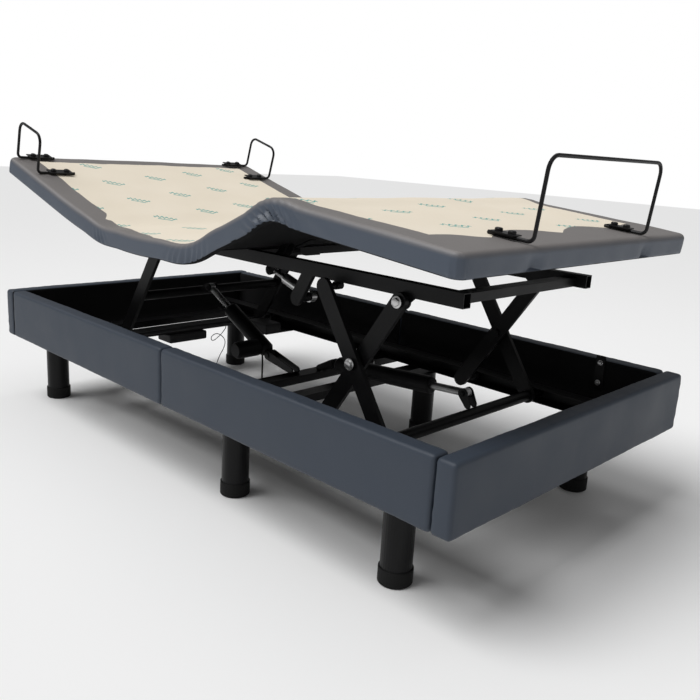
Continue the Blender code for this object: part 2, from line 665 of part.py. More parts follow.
def outer_corners(bm, x0, x1, low_end, high_end):
    """The upright edges of a box that lie at a section's outer end."""
    chosen = []
    for edge in bm.edges:
        a, b = (v.co for v in edge.verts)
        at_outer = (low_end is None and a.x < x0 + 0.05) or (high_end is None and a.x > x1 - 0.05)
        if abs(a.z - b.z) > 0.01 and at_outer:
            chosen.append(edge)
    return chosen


def deck_section(name, x0, x1, parent, low_end, high_end):
    """The upholstery of one section: a thin padded top with a skirt round its outer sides.

    low_end and high_end are None at an outer end, or (angle above, angle below) at a hinge.
    """
    clear = 0.0012
    bm = bmesh.new()
    start = x0 if low_end is None else x0 + clear
    end = x1 if high_end is None else x1 - clear
    outline = deck_outline(start, end, low_end is None, high_end is None)
    plate(bm, outline, SKIRT_BOTTOM, DECK_TOP, "Z")
    rim = []
    for edge in bm.edges:
        a, b = (v.co for v in edge.verts)
        if min(a.z, b.z) < DECK_TOP - 1e-6:
            continue
        at_hinge = (low_end and max(a.x, b.x) < start + 1e-6) or (high_end and min(a.x, b.x) > end - 1e-6)
        if not at_hinge:
            rim.append(edge)
    round_edges(bm, rim, DECK_EDGE)
    if low_end:
        cut_at_hinge(bm, x0, 1, *low_end)
    if high_end:
        cut_at_hinge(bm, x1, -1, *high_end)
    origin = Vector((0, 0, 0))
    joint = parent
    while joint is not None:
        origin += Vector(joint["flat_offset"])
        joint = joint.parent
    bmesh.ops.translate(bm, verts=bm.verts, vec=-origin)
    # the space for the board and the lift frame, open at the bottom and at the hinges
    skirt = SKIRT_THICKNESS
    pocket = bmesh.new()
    low = (x0 + skirt if low_end is None else x0 - 0.1, -DECK_WIDTH / 2 + skirt, SKIRT_BOTTOM - 0.02)
    high = (x1 - skirt if high_end is None else x1 + 0.1, DECK_WIDTH / 2 - skirt, BOARD_TOP + GAP)
    cuboid(pocket, low, high)
    round_edges(pocket, outer_corners(pocket, x0, x1, low_end, high_end), DECK_CORNER - skirt, 4)
    bmesh.ops.translate(pocket, verts=pocket.verts, vec=-origin)
    add(name, bm, DECK_FABRIC, parent, cut=[pocket])
    # the board
    board = bmesh.new()
    inset = SKIRT_THICKNESS + 0.001
    end_gap = 0.030
    b0 = x0 + (inset if low_end is None else end_gap)
    b1 = x1 - (inset if high_end is None else end_gap)
    cuboid(board, (b0, -DECK_WIDTH / 2 + inset, BOARD_BOTTOM), (b1, DECK_WIDTH / 2 - inset, BOARD_TOP))
    round_edges(board, outer_corners(board, x0, x1, low_end, high_end), DECK_CORNER - skirt, 4)
    return board, origin


def leaf(bm, x, side, y0, y1, thickness):
    """A hinge leaf rolled round the pin at x, reaching to the given side under a board."""
    outer, inner = KNUCKLE_RADIUS, KNUCKLE_RADIUS - thickness
    roll = math.radians(295)
    points = [(LEAF_LENGTH, outer)] + circle((0, 0), outer, 15, math.pi / 2, roll)
    points += circle((0, 0), inner, 15, math.pi / 2 + roll, -roll) + [(LEAF_LENGTH, inner)]
    placed = [(x + side * px, HINGE_Z + pz) for px, pz in points]
    plate(bm, placed, y0, y1, "Y")


def hinge_set(parent_parts, child_parts, x, child_side):
    """Two strap hinges on one line: leaves under both boards, and pins held by the parent's."""
    snug = KNUCKLE_RADIUS - HINGE_PIN_RADIUS + 0.0005
    for _, s in SIDES:
        y = s * HINGE_AT_Y
        parent_parts.append(shape(leaf, x, -child_side, y - LEAF_WIDTH, y - 0.0005, snug))
        child_parts.append(shape(leaf, x, child_side, y + 0.0005, y + LEAF_WIDTH, KNUCKLE_THICKNESS))
        parent_parts.append(shape(pin_between, x, HINGE_Z, y - LEAF_WIDTH - 0.002, y + LEAF_WIDTH + 0.002,
                                  HINGE_PIN_RADIUS))


def lever(joint_x, rest, tip, y, side):
    """A clevis on a board's underside, its two ears round an actuator's eye, in the flat deck's places."""
    dx, dz = tip[0] - joint_x, tip[1] - HINGE_Z
    flat = (joint_x + dx * math.cos(rest) - dz * math.sin(rest),
            HINGE_Z + dx * math.sin(rest) + dz * math.cos(rest))
    root = (joint_x + side * LEVER_ROOT_AT, BOARD_BOTTOM + 2 * WELD - EAR_ROOT)
    return ears(flat, root, y) + ear_bolts(flat, y)


def build_deck():
    back = empty("back_axis", (BACK_HINGE_X, 0, HINGE_Z), None, (0, BACK_REST, 0))
    back["flat_offset"] = (BACK_HINGE_X, 0, HINGE_Z)
    thigh = empty("thigh_axis", (THIGH_HINGE_X, 0, HINGE_Z), None, (0, -THIGH_REST, 0))
    thigh["flat_offset"] = (THIGH_HINGE_X, 0, HINGE_Z)
    foot = empty("knee_axis", (THIGH_LENGTH, 0, 0), thigh, (0, -KNEE_RATIO * THIGH_REST, 0))
    foot["flat_offset"] = (THIGH_LENGTH, 0, 0)

    back_fold, thigh_fold = BACK_MAX / 2, THIGH_MAX / 2
    knee_fold = -KNEE_RATIO * THIGH_MAX / 2
    seat_board, seat_at = deck_section("seat_pad", BACK_HINGE_X, THIGH_HINGE_X, None,
                                       (back_fold, 0.0), (thigh_fold, 0.0))
    back_board, back_at = deck_section("back_pad", HEAD_END_X, BACK_HINGE_X, back, None, (back_fold, 0.0))
    thigh_board, thigh_at = deck_section("thigh_pad", THIGH_HINGE_X, KNEE_X, thigh,
                                         (thigh_fold, 0.0), (0.0, knee_fold))
    foot_board, foot_at = deck_section("foot_pad", KNEE_X, FOOT_END_X, foot, (0.0, knee_fold), None)
    seat, back_parts, thigh_parts, foot_parts = [], [], [], []
    hinge_set(seat, back_parts, BACK_HINGE_X, -1)
    hinge_set(seat, thigh_parts, THIGH_HINGE_X, 1)
    hinge_set(thigh_parts, foot_parts, KNEE_X, 1)
    back_parts += lever(BACK_HINGE_X, BACK_REST, BACK_TIP, 0.0, -1)
    thigh_parts += lever(THIGH_HINGE_X, -THIGH_REST, LEG_TIP, LEG_ACTUATOR_Y, 1)
    for name, board, origin, joint, parts in (("seat_board", seat_board, seat_at, None, seat),
                                              ("back_board", back_board, back_at, back, back_parts),
                                              ("thigh_board", thigh_board, thigh_at, thigh, thigh_parts),
                                              ("foot_board", foot_board, foot_at, foot, foot_parts)):
        for bm in (board, *parts):
            bmesh.ops.translate(bm, verts=bm.verts, vec=-origin)
        add(name, board, PLYWOOD, joint, fused=parts)
    return back, thigh, foot


# ------------------------------------------------------------------ mattress retainers
def bent_path(points, radius, steps=6):
    """Corner points joined by straight runs and round bends."""
    path = [Vector(points[0])]
    for before, corner, after in zip(points, points[1:], points[2:]):
        corner = Vector(corner)
        to_before = (Vector(before) - corner).normalized()
        to_after = (Vector(after) - corner).normalized()
        turn = math.pi - to_before.angle(to_after)
        setback = radius * math.tan(turn / 2)
        centre = corner + (to_before + to_after).normalized() * (radius / math.cos(turn / 2))
        start, end = corner + to_before * setback - centre, corner + to_after * setback - centre
        axis = start.cross(end).normalized()
        for i in range(steps + 1):
            share = turn * i / steps
            path.append(centre + start * math.cos(share) + axis.cross(start) * math.sin(share))
    path.append(Vector(points[-1]))
    return path


def wire(name, path, radius, looks, parent=None, sides=3):
    """A round bar along a path, with closed ends."""
    curve = bpy.data.curves.new(name, "CURVE")
    curve.dimensions = "3D"
    spline = curve.splines.new("POLY")
    spline.points.add(len(path) - 1)
    for point, place in zip(spline.points, path):
        point.co = (*place, 1.0)
    curve.bevel_depth = radius
    curve.bevel_resolution = sides
    curve.use_fill_caps = True
    spline.use_smooth = True
    piece = bpy.data.objects.new(name, curve)
    bpy.context.scene.collection.objects.link(piece)
    piece.parent = parent
    curve.materials.append(finish(name, **looks))
    return piece


def swept(bm, path, radius, sides=10):
    """A round bar along a path, with closed ends."""
    path = [Vector(point) for point in path]
    side = None
    rings = []
    for i, point in enumerate(path):
        before, after = path[max(i - 1, 0)], path[min(i + 1, len(path) - 1)]
        along = (after - before).normalized()
        side = along.orthogonal() if side is None else side - along * side.dot(along)
        side.normalize()
        other = along.cross(side)
        turns = [2 * math.pi * k / sides for k in range(sides)]
        rings.append([bm.verts.new(point + radius * (side * math.cos(t) + other * math.sin(t))) for t in turns])
    for first, second in zip(rings, rings[1:]):
        for k in range(sides):
            j = (k + 1) % sides
            bm.faces.new((first[k], first[j], second[j], second[k]))
    bm.faces.new(rings[0][::-1])
    bm.faces.new(rings[-1])


def build_retainers(back, foot):
    lie = DECK_TOP - HINGE_Z + GAP + WIRE_RADIUS      # axis of a wire lying on the deck
    small_bend = 0.014
    bends = (small_bend, LOOP_CORNER, LOOP_CORNER, small_bend)
    # foot loop, in the foot section's frame
    x = FOOT_END_X - KNEE_X - FOOT_LOOP_INSET
    half = FOOT_LOOP_WIDTH / 2
    inner, top = x - FOOT_LOOP_BASE, lie + FOOT_LOOP_HEIGHT
    corners = [(inner, -half, lie), (x, -half, lie), (x, -half, top), (x, half, top), (x, half, lie),
               (inner, half, lie)]
    clamps = []
    for s in (-1, 1):
        clamps += clamp((inner + 0.012, x - 0.040), s * half, lie, "X")
    add("foot_retainer", shape(swept, mixed_bends(corners, bends), WIRE_RADIUS), BLACK_STEEL, foot, fused=clamps)
    # head loops, one over each long side, in the back section's frame
    outer_x = HEAD_END_X - BACK_HINGE_X + SIDE_LOOP_FROM_END
    inner_x = outer_x + SIDE_LOOP_WIDTH
    top = lie + SIDE_LOOP_HEIGHT
    for side, s in SIDES:
        y = s * (DECK_WIDTH / 2 - SIDE_LOOP_INSET)
        y_end = y - s * SIDE_LOOP_BASE
        corners = [(outer_x, y_end, lie), (outer_x, y, lie), (outer_x, y, top), (inner_x, y, top),
                   (inner_x, y, lie), (inner_x, y_end, lie)]
        clamps = []
        for place in (outer_x, inner_x):
            clamps += clamp(sorted((y_end + s * 0.012, y - s * 0.036)), place, lie, "Y")
        wire_bar = shape(swept, mixed_bends(corners, bends), WIRE_RADIUS)
        add("head_retainer_" + side, wire_bar, BLACK_STEEL, back, fused=clamps)


def mixed_bends(corners, radii):
    """Bends of different radii along one path of straight runs."""
    path = [Vector(corners[0])]
    for i, radius in enumerate(radii):
        part = bent_path(corners[i:i + 3], radius)
        path += part[1:-1]
    path.append(Vector(corners[-1]))
    return path


def clamp(span, place, lie, axis):
    """A plate over a base wire, with two knurled screws beside the wire."""
    bottom = lie + WIRE_RADIUS - WELD / 2
    half = 0.017
    low, high = span
    if axis == "X":
        parts = [shape(cuboid, (low, place - half, bottom), (high, place + half, bottom + CLAMP_THICKNESS))]
    else:
        parts = [shape(cuboid, (place - half, low, bottom), (place + half, high, bottom + CLAMP_THICKNESS))]
    screw = [(0, 0), (0, 0.009), (0.006, 0.009), (0.008, 0.007), (0.008, 0)]
    for share in (0.22, 0.78):
        at = low + (high - low) * share
        centre = (at, place) if axis == "X" else (place, at)
        parts.append(shape(turned, screw, (*centre, bottom + CLAMP_THICKNESS - WELD), (0, 0, 1), 14))
    return parts


# ------------------------------------------------------------------ electrics and cords
CONTROL_LENGTH = 0.170
CONTROL_Y = 0.035
SUPPLY_LOW = Vector((-0.560, 0.212, RAIL_BOTTOM))
SUPPLY_SIZE = Vector((0.120, 0.076, 0.036))
GLAND_AT = Vector((-0.534, 0.272, 0.0))


def build_electrics():
    top = TUBE_BOTTOM - GAP
    bm = bmesh.new()
    cuboid(bm, (CONTROL_TUBE_X - 0.045, CONTROL_Y - CONTROL_LENGTH / 2, top - 0.034),
           (CONTROL_TUBE_X + 0.045, CONTROL_Y + CONTROL_LENGTH / 2, top))
    round_edges(bm, bm.edges, 0.006, 2)
    add("control_box", bm, BLACK_PLASTIC)
    # power supply on a shelf that is screwed under the far rail
    shelf_top = RAIL_BOTTOM - GAP
    shelf = shape(cuboid, (SUPPLY_LOW.x, SUPPLY_LOW.y, shelf_top - 0.003),
                  (SUPPLY_LOW.x + SUPPLY_SIZE.x, RAIL_WEB_Y, shelf_top))
    bm = shape(cuboid, SUPPLY_LOW - Vector((0, 0, WELD)), SUPPLY_LOW + SUPPLY_SIZE)
    round_edges(bm, bm.edges, 0.005, 2)
    gland_top = shelf_top - 0.003
    gland = shape(turned, [(-WELD, 0), (-WELD, 0.010), (0.006, 0.010), (0.008, 0.0075), (0.034, 0.0048), (0.034, 0)],
                  (GLAND_AT.x, GLAND_AT.y, gland_top), (0, 0, -1), 16)
    add("power_supply", bm, BLACK_PLASTIC, fused=[shelf, gland])
    return gland_top - 0.034 - GAP


def smooth_path(points, step):
    """Read points, about a step apart, from a Catmull-Rom curve through the given ones."""
    points = [Vector(p) for p in points]
    ends = [points[0] * 2 - points[1]] + points + [points[-1] * 2 - points[-2]]
    path = [points[0]]
    for i in range(1, len(ends) - 2):
        a, b, c, d = ends[i - 1:i + 3]
        count = max(2, round((c - b).length / step))
        for k in range(1, count + 1):
            t = k / count
            path.append(0.5 * (2 * b + (c - a) * t + (2 * a - 5 * b + 4 * c - d) * t * t
                               + (3 * b - a - 3 * c + d) * t ** 3))
    return path


def build_cords(exit_z):
    r = CORD_RADIUS
    floor = r + GAP
    x, y = GLAND_AT.x, GLAND_AT.y
    route = [(x, y, exit_z), (x, y, exit_z - 0.020), (x + 0.001, y + 0.001, exit_z - 0.055),
             (x + 0.003, y + 0.002, exit_z - 0.095), (x + 0.004, y + 0.002, exit_z - 0.130),
             (x + 0.006, y + 0.000, exit_z - 0.160), (x + 0.012, y - 0.006, exit_z - 0.184),
             (x + 0.026, y - 0.018, floor + 0.0065), (x + 0.048, y - 0.034, floor + 0.0005),
             (x + 0.075, y - 0.050, floor), (x + 0.104, y - 0.066, floor), (x + 0.134, y - 0.082, floor),
             (x + 0.168, y - 0.094, floor)]
    coil_outer = COIL_MEAN_RADIUS + 2 * r + 0.0005
    end = Vector(route[-1])
    towards = Vector((COIL_CENTRE.x - end.x, COIL_CENTRE.y - end.y, 0))
    reach = towards.length - coil_outer - GAP - 0.0025
    last = end + towards.normalized() * reach
    wire("mains_cord", smooth_path(route + [tuple(last)], 0.015), r, BLACK_PLASTIC, None, 2)
    lead_r = LEAD_RADIUS
    lead_floor = lead_r + GAP
    x = CONTROL_TUBE_X
    lead = [(x, 0.246, TUBE_BOTTOM - GAP), (x, 0.2452, TUBE_BOTTOM - 0.014), (x, 0.236, 0.200), (x, 0.222, 0.186),
            (x, 0.204, 0.174), (x + 0.002, 0.186, 0.166), (x + 0.006, 0.170, 0.170),
            (x + 0.009, 0.168, 0.184), (x + 0.010, 0.184, 0.194), (x + 0.010, 0.206, 0.190),
            (x + 0.010, 0.228, 0.172), (x + 0.010, 0.236, 0.152), (x + 0.010, 0.228, 0.126),
            (x + 0.010, 0.213, 0.104), (x + 0.010, 0.200, 0.078), (x + 0.012, 0.190, 0.046),
            (x + 0.018, 0.184, 0.020), (x + 0.034, 0.178, lead_floor + 0.002), (x + 0.060, 0.168, lead_floor),
            (x + 0.090, 0.150, lead_floor), (x + 0.120, 0.126, lead_floor)]
    wire("accessory_lead", smooth_path(lead, 0.010), lead_r, BLACK_PLASTIC, None, 2)
    bm = bmesh.new()
    heading = (Vector(lead[-1]) - Vector(lead[-2])).normalized()
    start = Vector(lead[-1]) + heading * GAP
    start.z = 0.0055 + GAP
    turned(bm, [(0, 0), (0, 0.0035), (0.004, 0.0055), (0.024, 0.0055), (0.026, 0.0045), (0.026, 0)],
           start, (heading.x, heading.y, 0), 14)
    add("lead_connector", bm, BLACK_PLASTIC)
    bm = bmesh.new()
    low, width, height = GAP, 2 * r + 0.0005, 6 * r
    profile = [(low, COIL_MEAN_RADIUS - width), (low, COIL_MEAN_RADIUS + width),
               (low + height, COIL_MEAN_RADIUS + width), (low + height, COIL_MEAN_RADIUS - width)]
    turned(bm, profile, COIL_CENTRE, (0, 0, 1), 32)
    add("cord_coil", bm, BLACK_PLASTIC)
    plug_at = COIL_CENTRE + Vector((0.0973, 0.0355, 0))
    body = shape(cuboid, plug_at + Vector((-0.019, -0.019, GAP)), plug_at + Vector((0.019, 0.019, 0.026)))
    round_edges(body, body.edges, 0.004, 2)
    blades = [shape(cuboid, plug_at + Vector((0.019 - WELD, dy - 0.003, 0.012)),
                    plug_at + Vector((0.036, dy + 0.003, 0.0138))) for dy in (-0.007, 0.007)]
    add("mains_plug", body, BLACK_PLASTIC, fused=blades)


# ------------------------------------------------------------------ assembly
build_box()
build_base_frame()
build_legs()
build_lift()
build_lift_frame()
back_axis, thigh_axis, knee_axis = build_deck()
build_retainers(back_axis, knee_axis)
actuator("foot_lift", FOOT_LIFT_BASE, FOOT_LIFT_TIP, FOOT_LIFT_Y, 0.026, 0.011, 0.400, 0.100, 1)
actuator("head_lift", HEAD_LIFT_BASE, HEAD_LIFT_TIP, HEAD_LIFT_Y, 0.026, 0.011, 0.250, 0.100, -1)
actuator("back_lift", BACK_BASE, BACK_TIP, 0.0, 0.022, 0.010, 0.190, 0.090, 0)
actuator("leg_lift", LEG_BASE, LEG_TIP, LEG_ACTUATOR_Y, 0.016, 0.008, 0.118, 0.065, 0, ZINC)
build_cords(build_electrics())
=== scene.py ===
# %% [markdown]
# # An adjustable bed base
# A bed base of this kind is an upholstered box on short round legs, with a scissor lift inside it and
# a folding deck on top.  The frame's shapes come from its engineering model, which is loaded first, so
# every new piece is placed from that model's own sizes, in metres, with the floor at zero height.

# %% Load the frame
import json
import math

import bmesh
import bpy
import numpy as np
from mathutils import Matrix, Vector, noise

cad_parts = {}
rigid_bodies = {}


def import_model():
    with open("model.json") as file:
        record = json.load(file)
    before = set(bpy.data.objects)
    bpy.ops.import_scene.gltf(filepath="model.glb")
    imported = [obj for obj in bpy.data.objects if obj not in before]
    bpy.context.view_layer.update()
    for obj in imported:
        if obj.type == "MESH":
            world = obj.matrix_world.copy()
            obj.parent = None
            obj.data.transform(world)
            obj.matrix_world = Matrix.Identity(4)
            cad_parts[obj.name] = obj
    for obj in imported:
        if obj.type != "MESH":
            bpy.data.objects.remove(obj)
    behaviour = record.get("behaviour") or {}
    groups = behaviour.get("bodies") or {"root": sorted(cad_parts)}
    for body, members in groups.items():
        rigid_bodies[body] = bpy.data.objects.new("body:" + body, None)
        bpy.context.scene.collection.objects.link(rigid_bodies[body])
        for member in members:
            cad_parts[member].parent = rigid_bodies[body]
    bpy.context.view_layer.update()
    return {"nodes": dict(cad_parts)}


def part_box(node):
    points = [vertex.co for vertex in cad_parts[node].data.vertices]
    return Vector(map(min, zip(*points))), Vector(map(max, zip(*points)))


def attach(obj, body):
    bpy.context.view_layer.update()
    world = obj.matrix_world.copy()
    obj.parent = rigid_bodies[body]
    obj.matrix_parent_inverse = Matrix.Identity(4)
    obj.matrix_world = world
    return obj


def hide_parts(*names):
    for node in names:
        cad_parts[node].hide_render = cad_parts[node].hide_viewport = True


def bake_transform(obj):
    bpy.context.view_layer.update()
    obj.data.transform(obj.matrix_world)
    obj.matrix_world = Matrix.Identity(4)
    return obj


for old in list(bpy.data.objects):
    bpy.data.objects.remove(old, do_unlink=True)
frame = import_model()

# %% [markdown]
# ## Camera
# The camera stands at the near foot corner, a little above the deck.  Its turn is written as three
# directions, because those say plainly where its right side, its top and its back point.

# %% Camera
right = Vector((0.71264, 0.69901, 0.05934))
down = Vector((0.21539, -0.13752, -0.96680))
forward = Vector((-0.66764, 0.70176, -0.24857))
camera_data = bpy.data.cameras.new("camera")
camera_data.lens = 39.72
camera_data.sensor_width = 36.0
camera_data.clip_end = 60.0
camera = bpy.data.objects.new("camera", camera_data)
bpy.context.scene.collection.objects.link(camera)
turn = Matrix((right, -down, -forward)).transposed()
camera.matrix_world = Matrix.Translation((1.78993, -1.65805, 0.94928)) @ turn.to_4x4()
bpy.context.scene.camera = camera
print("camera lens", camera_data.lens, "mm")

# %% [markdown]
# ## Building materials from nodes
# A procedural material is a small graph.  A short helper adds a node, sets its plain values and links
# its inputs, so that each material below reads like a recipe.

# %% Node helpers
def new_finish(name):
    """A material and its shader."""
    material = bpy.data.materials.new(name)
    material.use_nodes = True
    return material, material.node_tree.nodes["Principled BSDF"]


def add_node(material, kind, links=None, **values):
    """Add a node, set its values, and link inputs given as {input: (node, output)}."""
    made = material.node_tree.nodes.new("ShaderNode" + kind)
    for key, value in values.items():
        if hasattr(made, key):
            setattr(made, key, value)
        else:
            made.inputs[key.replace("_", " ")].default_value = value
    for key, (source, output) in (links or {}).items():
        material.node_tree.links.new(source.outputs[output], made.inputs[key])
    return made


def wire_up(material, source, output, target, into):
    """Link one node's output to another's input."""
    material.node_tree.links.new(source.outputs[output], target.inputs[into])


def math_node(material, operation, first, second=None, third=None):
    """A Math node whose inputs are numbers or (node, output)."""
    made = material.node_tree.nodes.new("ShaderNodeMath")
    made.operation = operation
    for slot, value in enumerate((first, second, third)):
        if value is None:
            continue
        if isinstance(value, tuple):
            material.node_tree.links.new(value[0].outputs[value[1]], made.inputs[slot])
        else:
            made.inputs[slot].default_value = value
    return made


def mix_colour(material, factor, first, second):
    """Mix two colours, each a plain colour or (node, output)."""
    made = material.node_tree.nodes.new("ShaderNodeMix")
    made.data_type = "RGBA"
    for slot, value in ((0, factor), (6, first), (7, second)):
        if isinstance(value, tuple) and not isinstance(value[0], float):
            material.node_tree.links.new(value[0].outputs[value[1]], made.inputs[slot])
        else:
            made.inputs[slot].default_value = value if slot == 0 else (*value, 1.0)
    return made


print("node helpers ready")

# %% [markdown]
# ## Finishes
# The box is covered in a soft pebbled cover.  Steel is powder coated, which leaves a fine orange peel.
# Bolts and actuator rods are zinc plated, so they are the only bright metal.

# %% Slate cover for the box
def pebble_bump(material, shader, place, output, grain, depth):
    """Fine pebble grain with a softer hand under it."""
    cells = add_node(material, "TexVoronoi", {"Vector": (place, output)}, Scale=grain, feature="F1")
    soft = add_node(material, "TexNoise", {"Vector": (place, output)}, Scale=38.0, Detail=4.0)
    height = math_node(material, "MULTIPLY_ADD", (soft, "Fac"), 1.6, (cells, "Distance"))
    bump = add_node(material, "Bump", {"Height": (height, 0)}, Strength=0.35, Distance=depth)
    wire_up(material, bump, "Normal", shader, "Normal")
    return bump


def slate_cover(name, dark, light, roughness):
    material, shader = new_finish(name)
    place = add_node(material, "TexCoord")
    cloud = add_node(material, "TexNoise", {"Vector": (place, "Object")}, Scale=7.0, Detail=5.0)
    colour = mix_colour(material, (cloud, "Fac"), dark, light)
    material.node_tree.links.new(colour.outputs[2], shader.inputs["Base Color"])
    sheen = add_node(material, "MapRange", {"Value": (cloud, "Fac")}, From_Min=0.3, From_Max=0.7,
                     To_Min=roughness - 0.05, To_Max=roughness + 0.06)
    wire_up(material, sheen, "Result", shader, "Roughness")
    pebble_bump(material, shader, place, "Object", 620.0, 0.0006)
    shader.inputs["Specular IOR Level"].default_value = 0.34
    return material


box_cover = slate_cover("slate_cover", (0.034, 0.044, 0.061), (0.044, 0.056, 0.077), 0.52)
print("made", box_cover.name)

# %% Powder coat, zinc, rubber, plastic and lining
def speckled(name, colour, colour_2, roughness, metallic, scale, bump_depth, strength=0.25):
    """A hard finish with a fine grain in colour, gloss and relief."""
    material, shader = new_finish(name)
    place = add_node(material, "TexCoord")
    grain = add_node(material, "TexNoise", {"Vector": (place, "Object")}, Scale=scale, Detail=3.0)
    wear = add_node(material, "TexNoise", {"Vector": (place, "Object")}, Scale=9.0, Detail=6.0)
    blend = mix_colour(material, (wear, "Fac"), colour, colour_2)
    material.node_tree.links.new(blend.outputs[2], shader.inputs["Base Color"])
    gloss = add_node(material, "MapRange", {"Value": (wear, "Fac")}, From_Min=0.25, From_Max=0.75,
                     To_Min=roughness - 0.07, To_Max=roughness + 0.08)
    wire_up(material, gloss, "Result", shader, "Roughness")
    bump = add_node(material, "Bump", {"Height": (grain, "Fac")}, Strength=strength, Distance=bump_depth)
    wire_up(material, bump, "Normal", shader, "Normal")
    shader.inputs["Metallic"].default_value = metallic
    shader.inputs["Specular IOR Level"].default_value = 0.5 if metallic else 0.16
    return material


powder_coat = speckled("black_powder_coat", (0.0045, 0.0045, 0.0050), (0.0080, 0.0080, 0.0085),
                       0.38, 0.0, 900.0, 0.0004)
wire_coat = speckled("retainer_coat", (0.010, 0.010, 0.011), (0.016, 0.016, 0.017), 0.32, 0.0, 700.0, 0.0002)
zinc_plate = speckled("zinc_plate", (0.50, 0.50, 0.51), (0.64, 0.64, 0.63), 0.30, 1.0, 220.0, 0.0002)
dark_rubber = speckled("dark_rubber", (0.010, 0.010, 0.010), (0.018, 0.018, 0.018), 0.72, 0.0, 500.0, 0.0003)
moulded_black = speckled("moulded_black", (0.013, 0.013, 0.014), (0.020, 0.020, 0.021),
                         0.52, 0.0, 1400.0, 0.0003)
lining = speckled("black_lining", (0.006, 0.006, 0.007), (0.012, 0.012, 0.012),
                  0.85, 0.0, 1100.0, 0.0006, 0.5)
print("made the hard finishes")


def leg_finish():
    """Powder-coated tube above, matt rubber cap below."""
    material, shader = new_finish("leg_coat_and_cap")
    place = add_node(material, "TexCoord")
    height = add_node(material, "SeparateXYZ", {"Vector": (place, "Object")})
    above = math_node(material, "GREATER_THAN", (height, "Z"), 0.0402)
    grain = add_node(material, "TexNoise", {"Vector": (place, "Object")}, Scale=800.0, Detail=3.0)
    blend = mix_colour(material, (above, 0), (0.009, 0.009, 0.009), (0.005, 0.005, 0.0055))
    material.node_tree.links.new(blend.outputs[2], shader.inputs["Base Color"])
    gloss = add_node(material, "MapRange", {"Value": (above, 0)}, To_Min=0.72, To_Max=0.34)
    wire_up(material, gloss, "Result", shader, "Roughness")
    bump = add_node(material, "Bump", {"Height": (grain, "Fac")}, Strength=0.2, Distance=0.0003)
    wire_up(material, bump, "Normal", shader, "Normal")
    shader.inputs["Specular IOR Level"].default_value = 0.18
    return material


leg_coat = leg_finish()
print("made the leg finish")

# %% Put the finishes on the frame's own pieces
def wears(material, *starts):
    """Give a finish to every frame piece whose name starts so."""
    count = 0
    for name, piece in frame["nodes"].items():
        if name.startswith(starts):
            piece.data.materials.clear()
            piece.data.materials.append(material)
            count += 1
    return count


steel = wears(powder_coat, "base_rail", "base_tube", "outer_arm", "inner_arm", "head_arm", "lift_rail",
              "back_actuator_carrier", "lift_tube", "foot_lift_housing", "head_lift_housing",
              "back_lift_housing")
bright = wears(zinc_plate, "leg_lift", "foot_lift_rod", "head_lift_rod", "back_lift_rod")
others = (wears(leg_coat, "leg_near", "leg_far") + wears(wire_coat, "foot_retainer", "head_retainer")
          + wears(moulded_black, "control_box", "power_supply", "base_roller", "head_roller", "mains_plug",
                  "lead_connector") + wears(lining, "seat_board", "back_board", "thigh_board", "foot_board"))
print(steel, "steel,", bright, "zinc,", others, "other frame pieces")

# %% [markdown]
# ## Cords
# The mains lead leaves the power supply under the far rail, hangs straight down and runs along the floor.
# What isn't needed is wound into a neat coil of six turns, two beside each other and three high, held by a
# tie.  A thin accessory lead hangs from the control tube in a small loop.  Both are curves, because a
# curve keeps one round section all along its line.

# %% Curve helpers
def smooth_line(points, step):
    """Places along one smooth curve through the given points."""
    points = [Vector(p) for p in points]
    ends = [points[0] * 2 - points[1]] + points + [points[-1] * 2 - points[-2]]
    line = [points[0]]
    for i in range(1, len(ends) - 2):
        a, b, c, d = ends[i - 1:i + 3]
        count = max(2, round((c - b).length / step))
        for k in range(1, count + 1):
            t = k / count
            line.append(0.5 * (2 * b + (c - a) * t + (2 * a - 5 * b + 4 * c - d) * t * t
                               + (3 * b - a - 3 * c + d) * t ** 3))
    return line


def round_cord(name, line, radius, material):
    """A curve object with a round section and closed ends."""
    curve = bpy.data.curves.new(name, "CURVE")
    curve.dimensions = "3D"
    run = curve.splines.new("POLY")
    run.points.add(len(line) - 1)
    for point, place in zip(run.points, line):
        point.co = (*place, 1.0)
    run.use_smooth = True
    curve.bevel_depth = radius
    curve.bevel_resolution = 3
    curve.use_fill_caps = True
    curve.materials.append(material)
    cord = bpy.data.objects.new(name, curve)
    bpy.context.scene.collection.objects.link(cord)
    return cord


print("curve helpers ready")

# %% The mains lead
CORD = 0.0035                                  # its radius
floor = CORD + 0.0003
exit_at = Vector((-0.534, 0.272, 0.2124))
x, y, z = exit_at
route = [(x, y, z), (x, y, z - 0.020), (x + 0.001, y + 0.001, z - 0.055), (x + 0.003, y + 0.002, z - 0.095),
         (x + 0.004, y + 0.002, z - 0.130), (x + 0.006, y, z - 0.160), (x + 0.012, y - 0.006, z - 0.184),
         (x + 0.026, y - 0.018, floor + 0.0065), (x + 0.048, y - 0.034, floor + 0.0005),
         (x + 0.075, y - 0.050, floor), (x + 0.104, y - 0.066, floor), (x + 0.134, y - 0.082, floor),
         (x + 0.168, y - 0.094, floor)]
coil_centre = Vector((-0.335, 0.130, 0.0))
near_turn, far_turn, rise = 0.0380, 0.0451, 0.0071
cells = [(far_turn, 0), (near_turn, 0), (near_turn, 1), (far_turn, 1), (far_turn, 2), (near_turn, 2),
         (near_turn, 3)]
first_angle = math.radians(73.5)


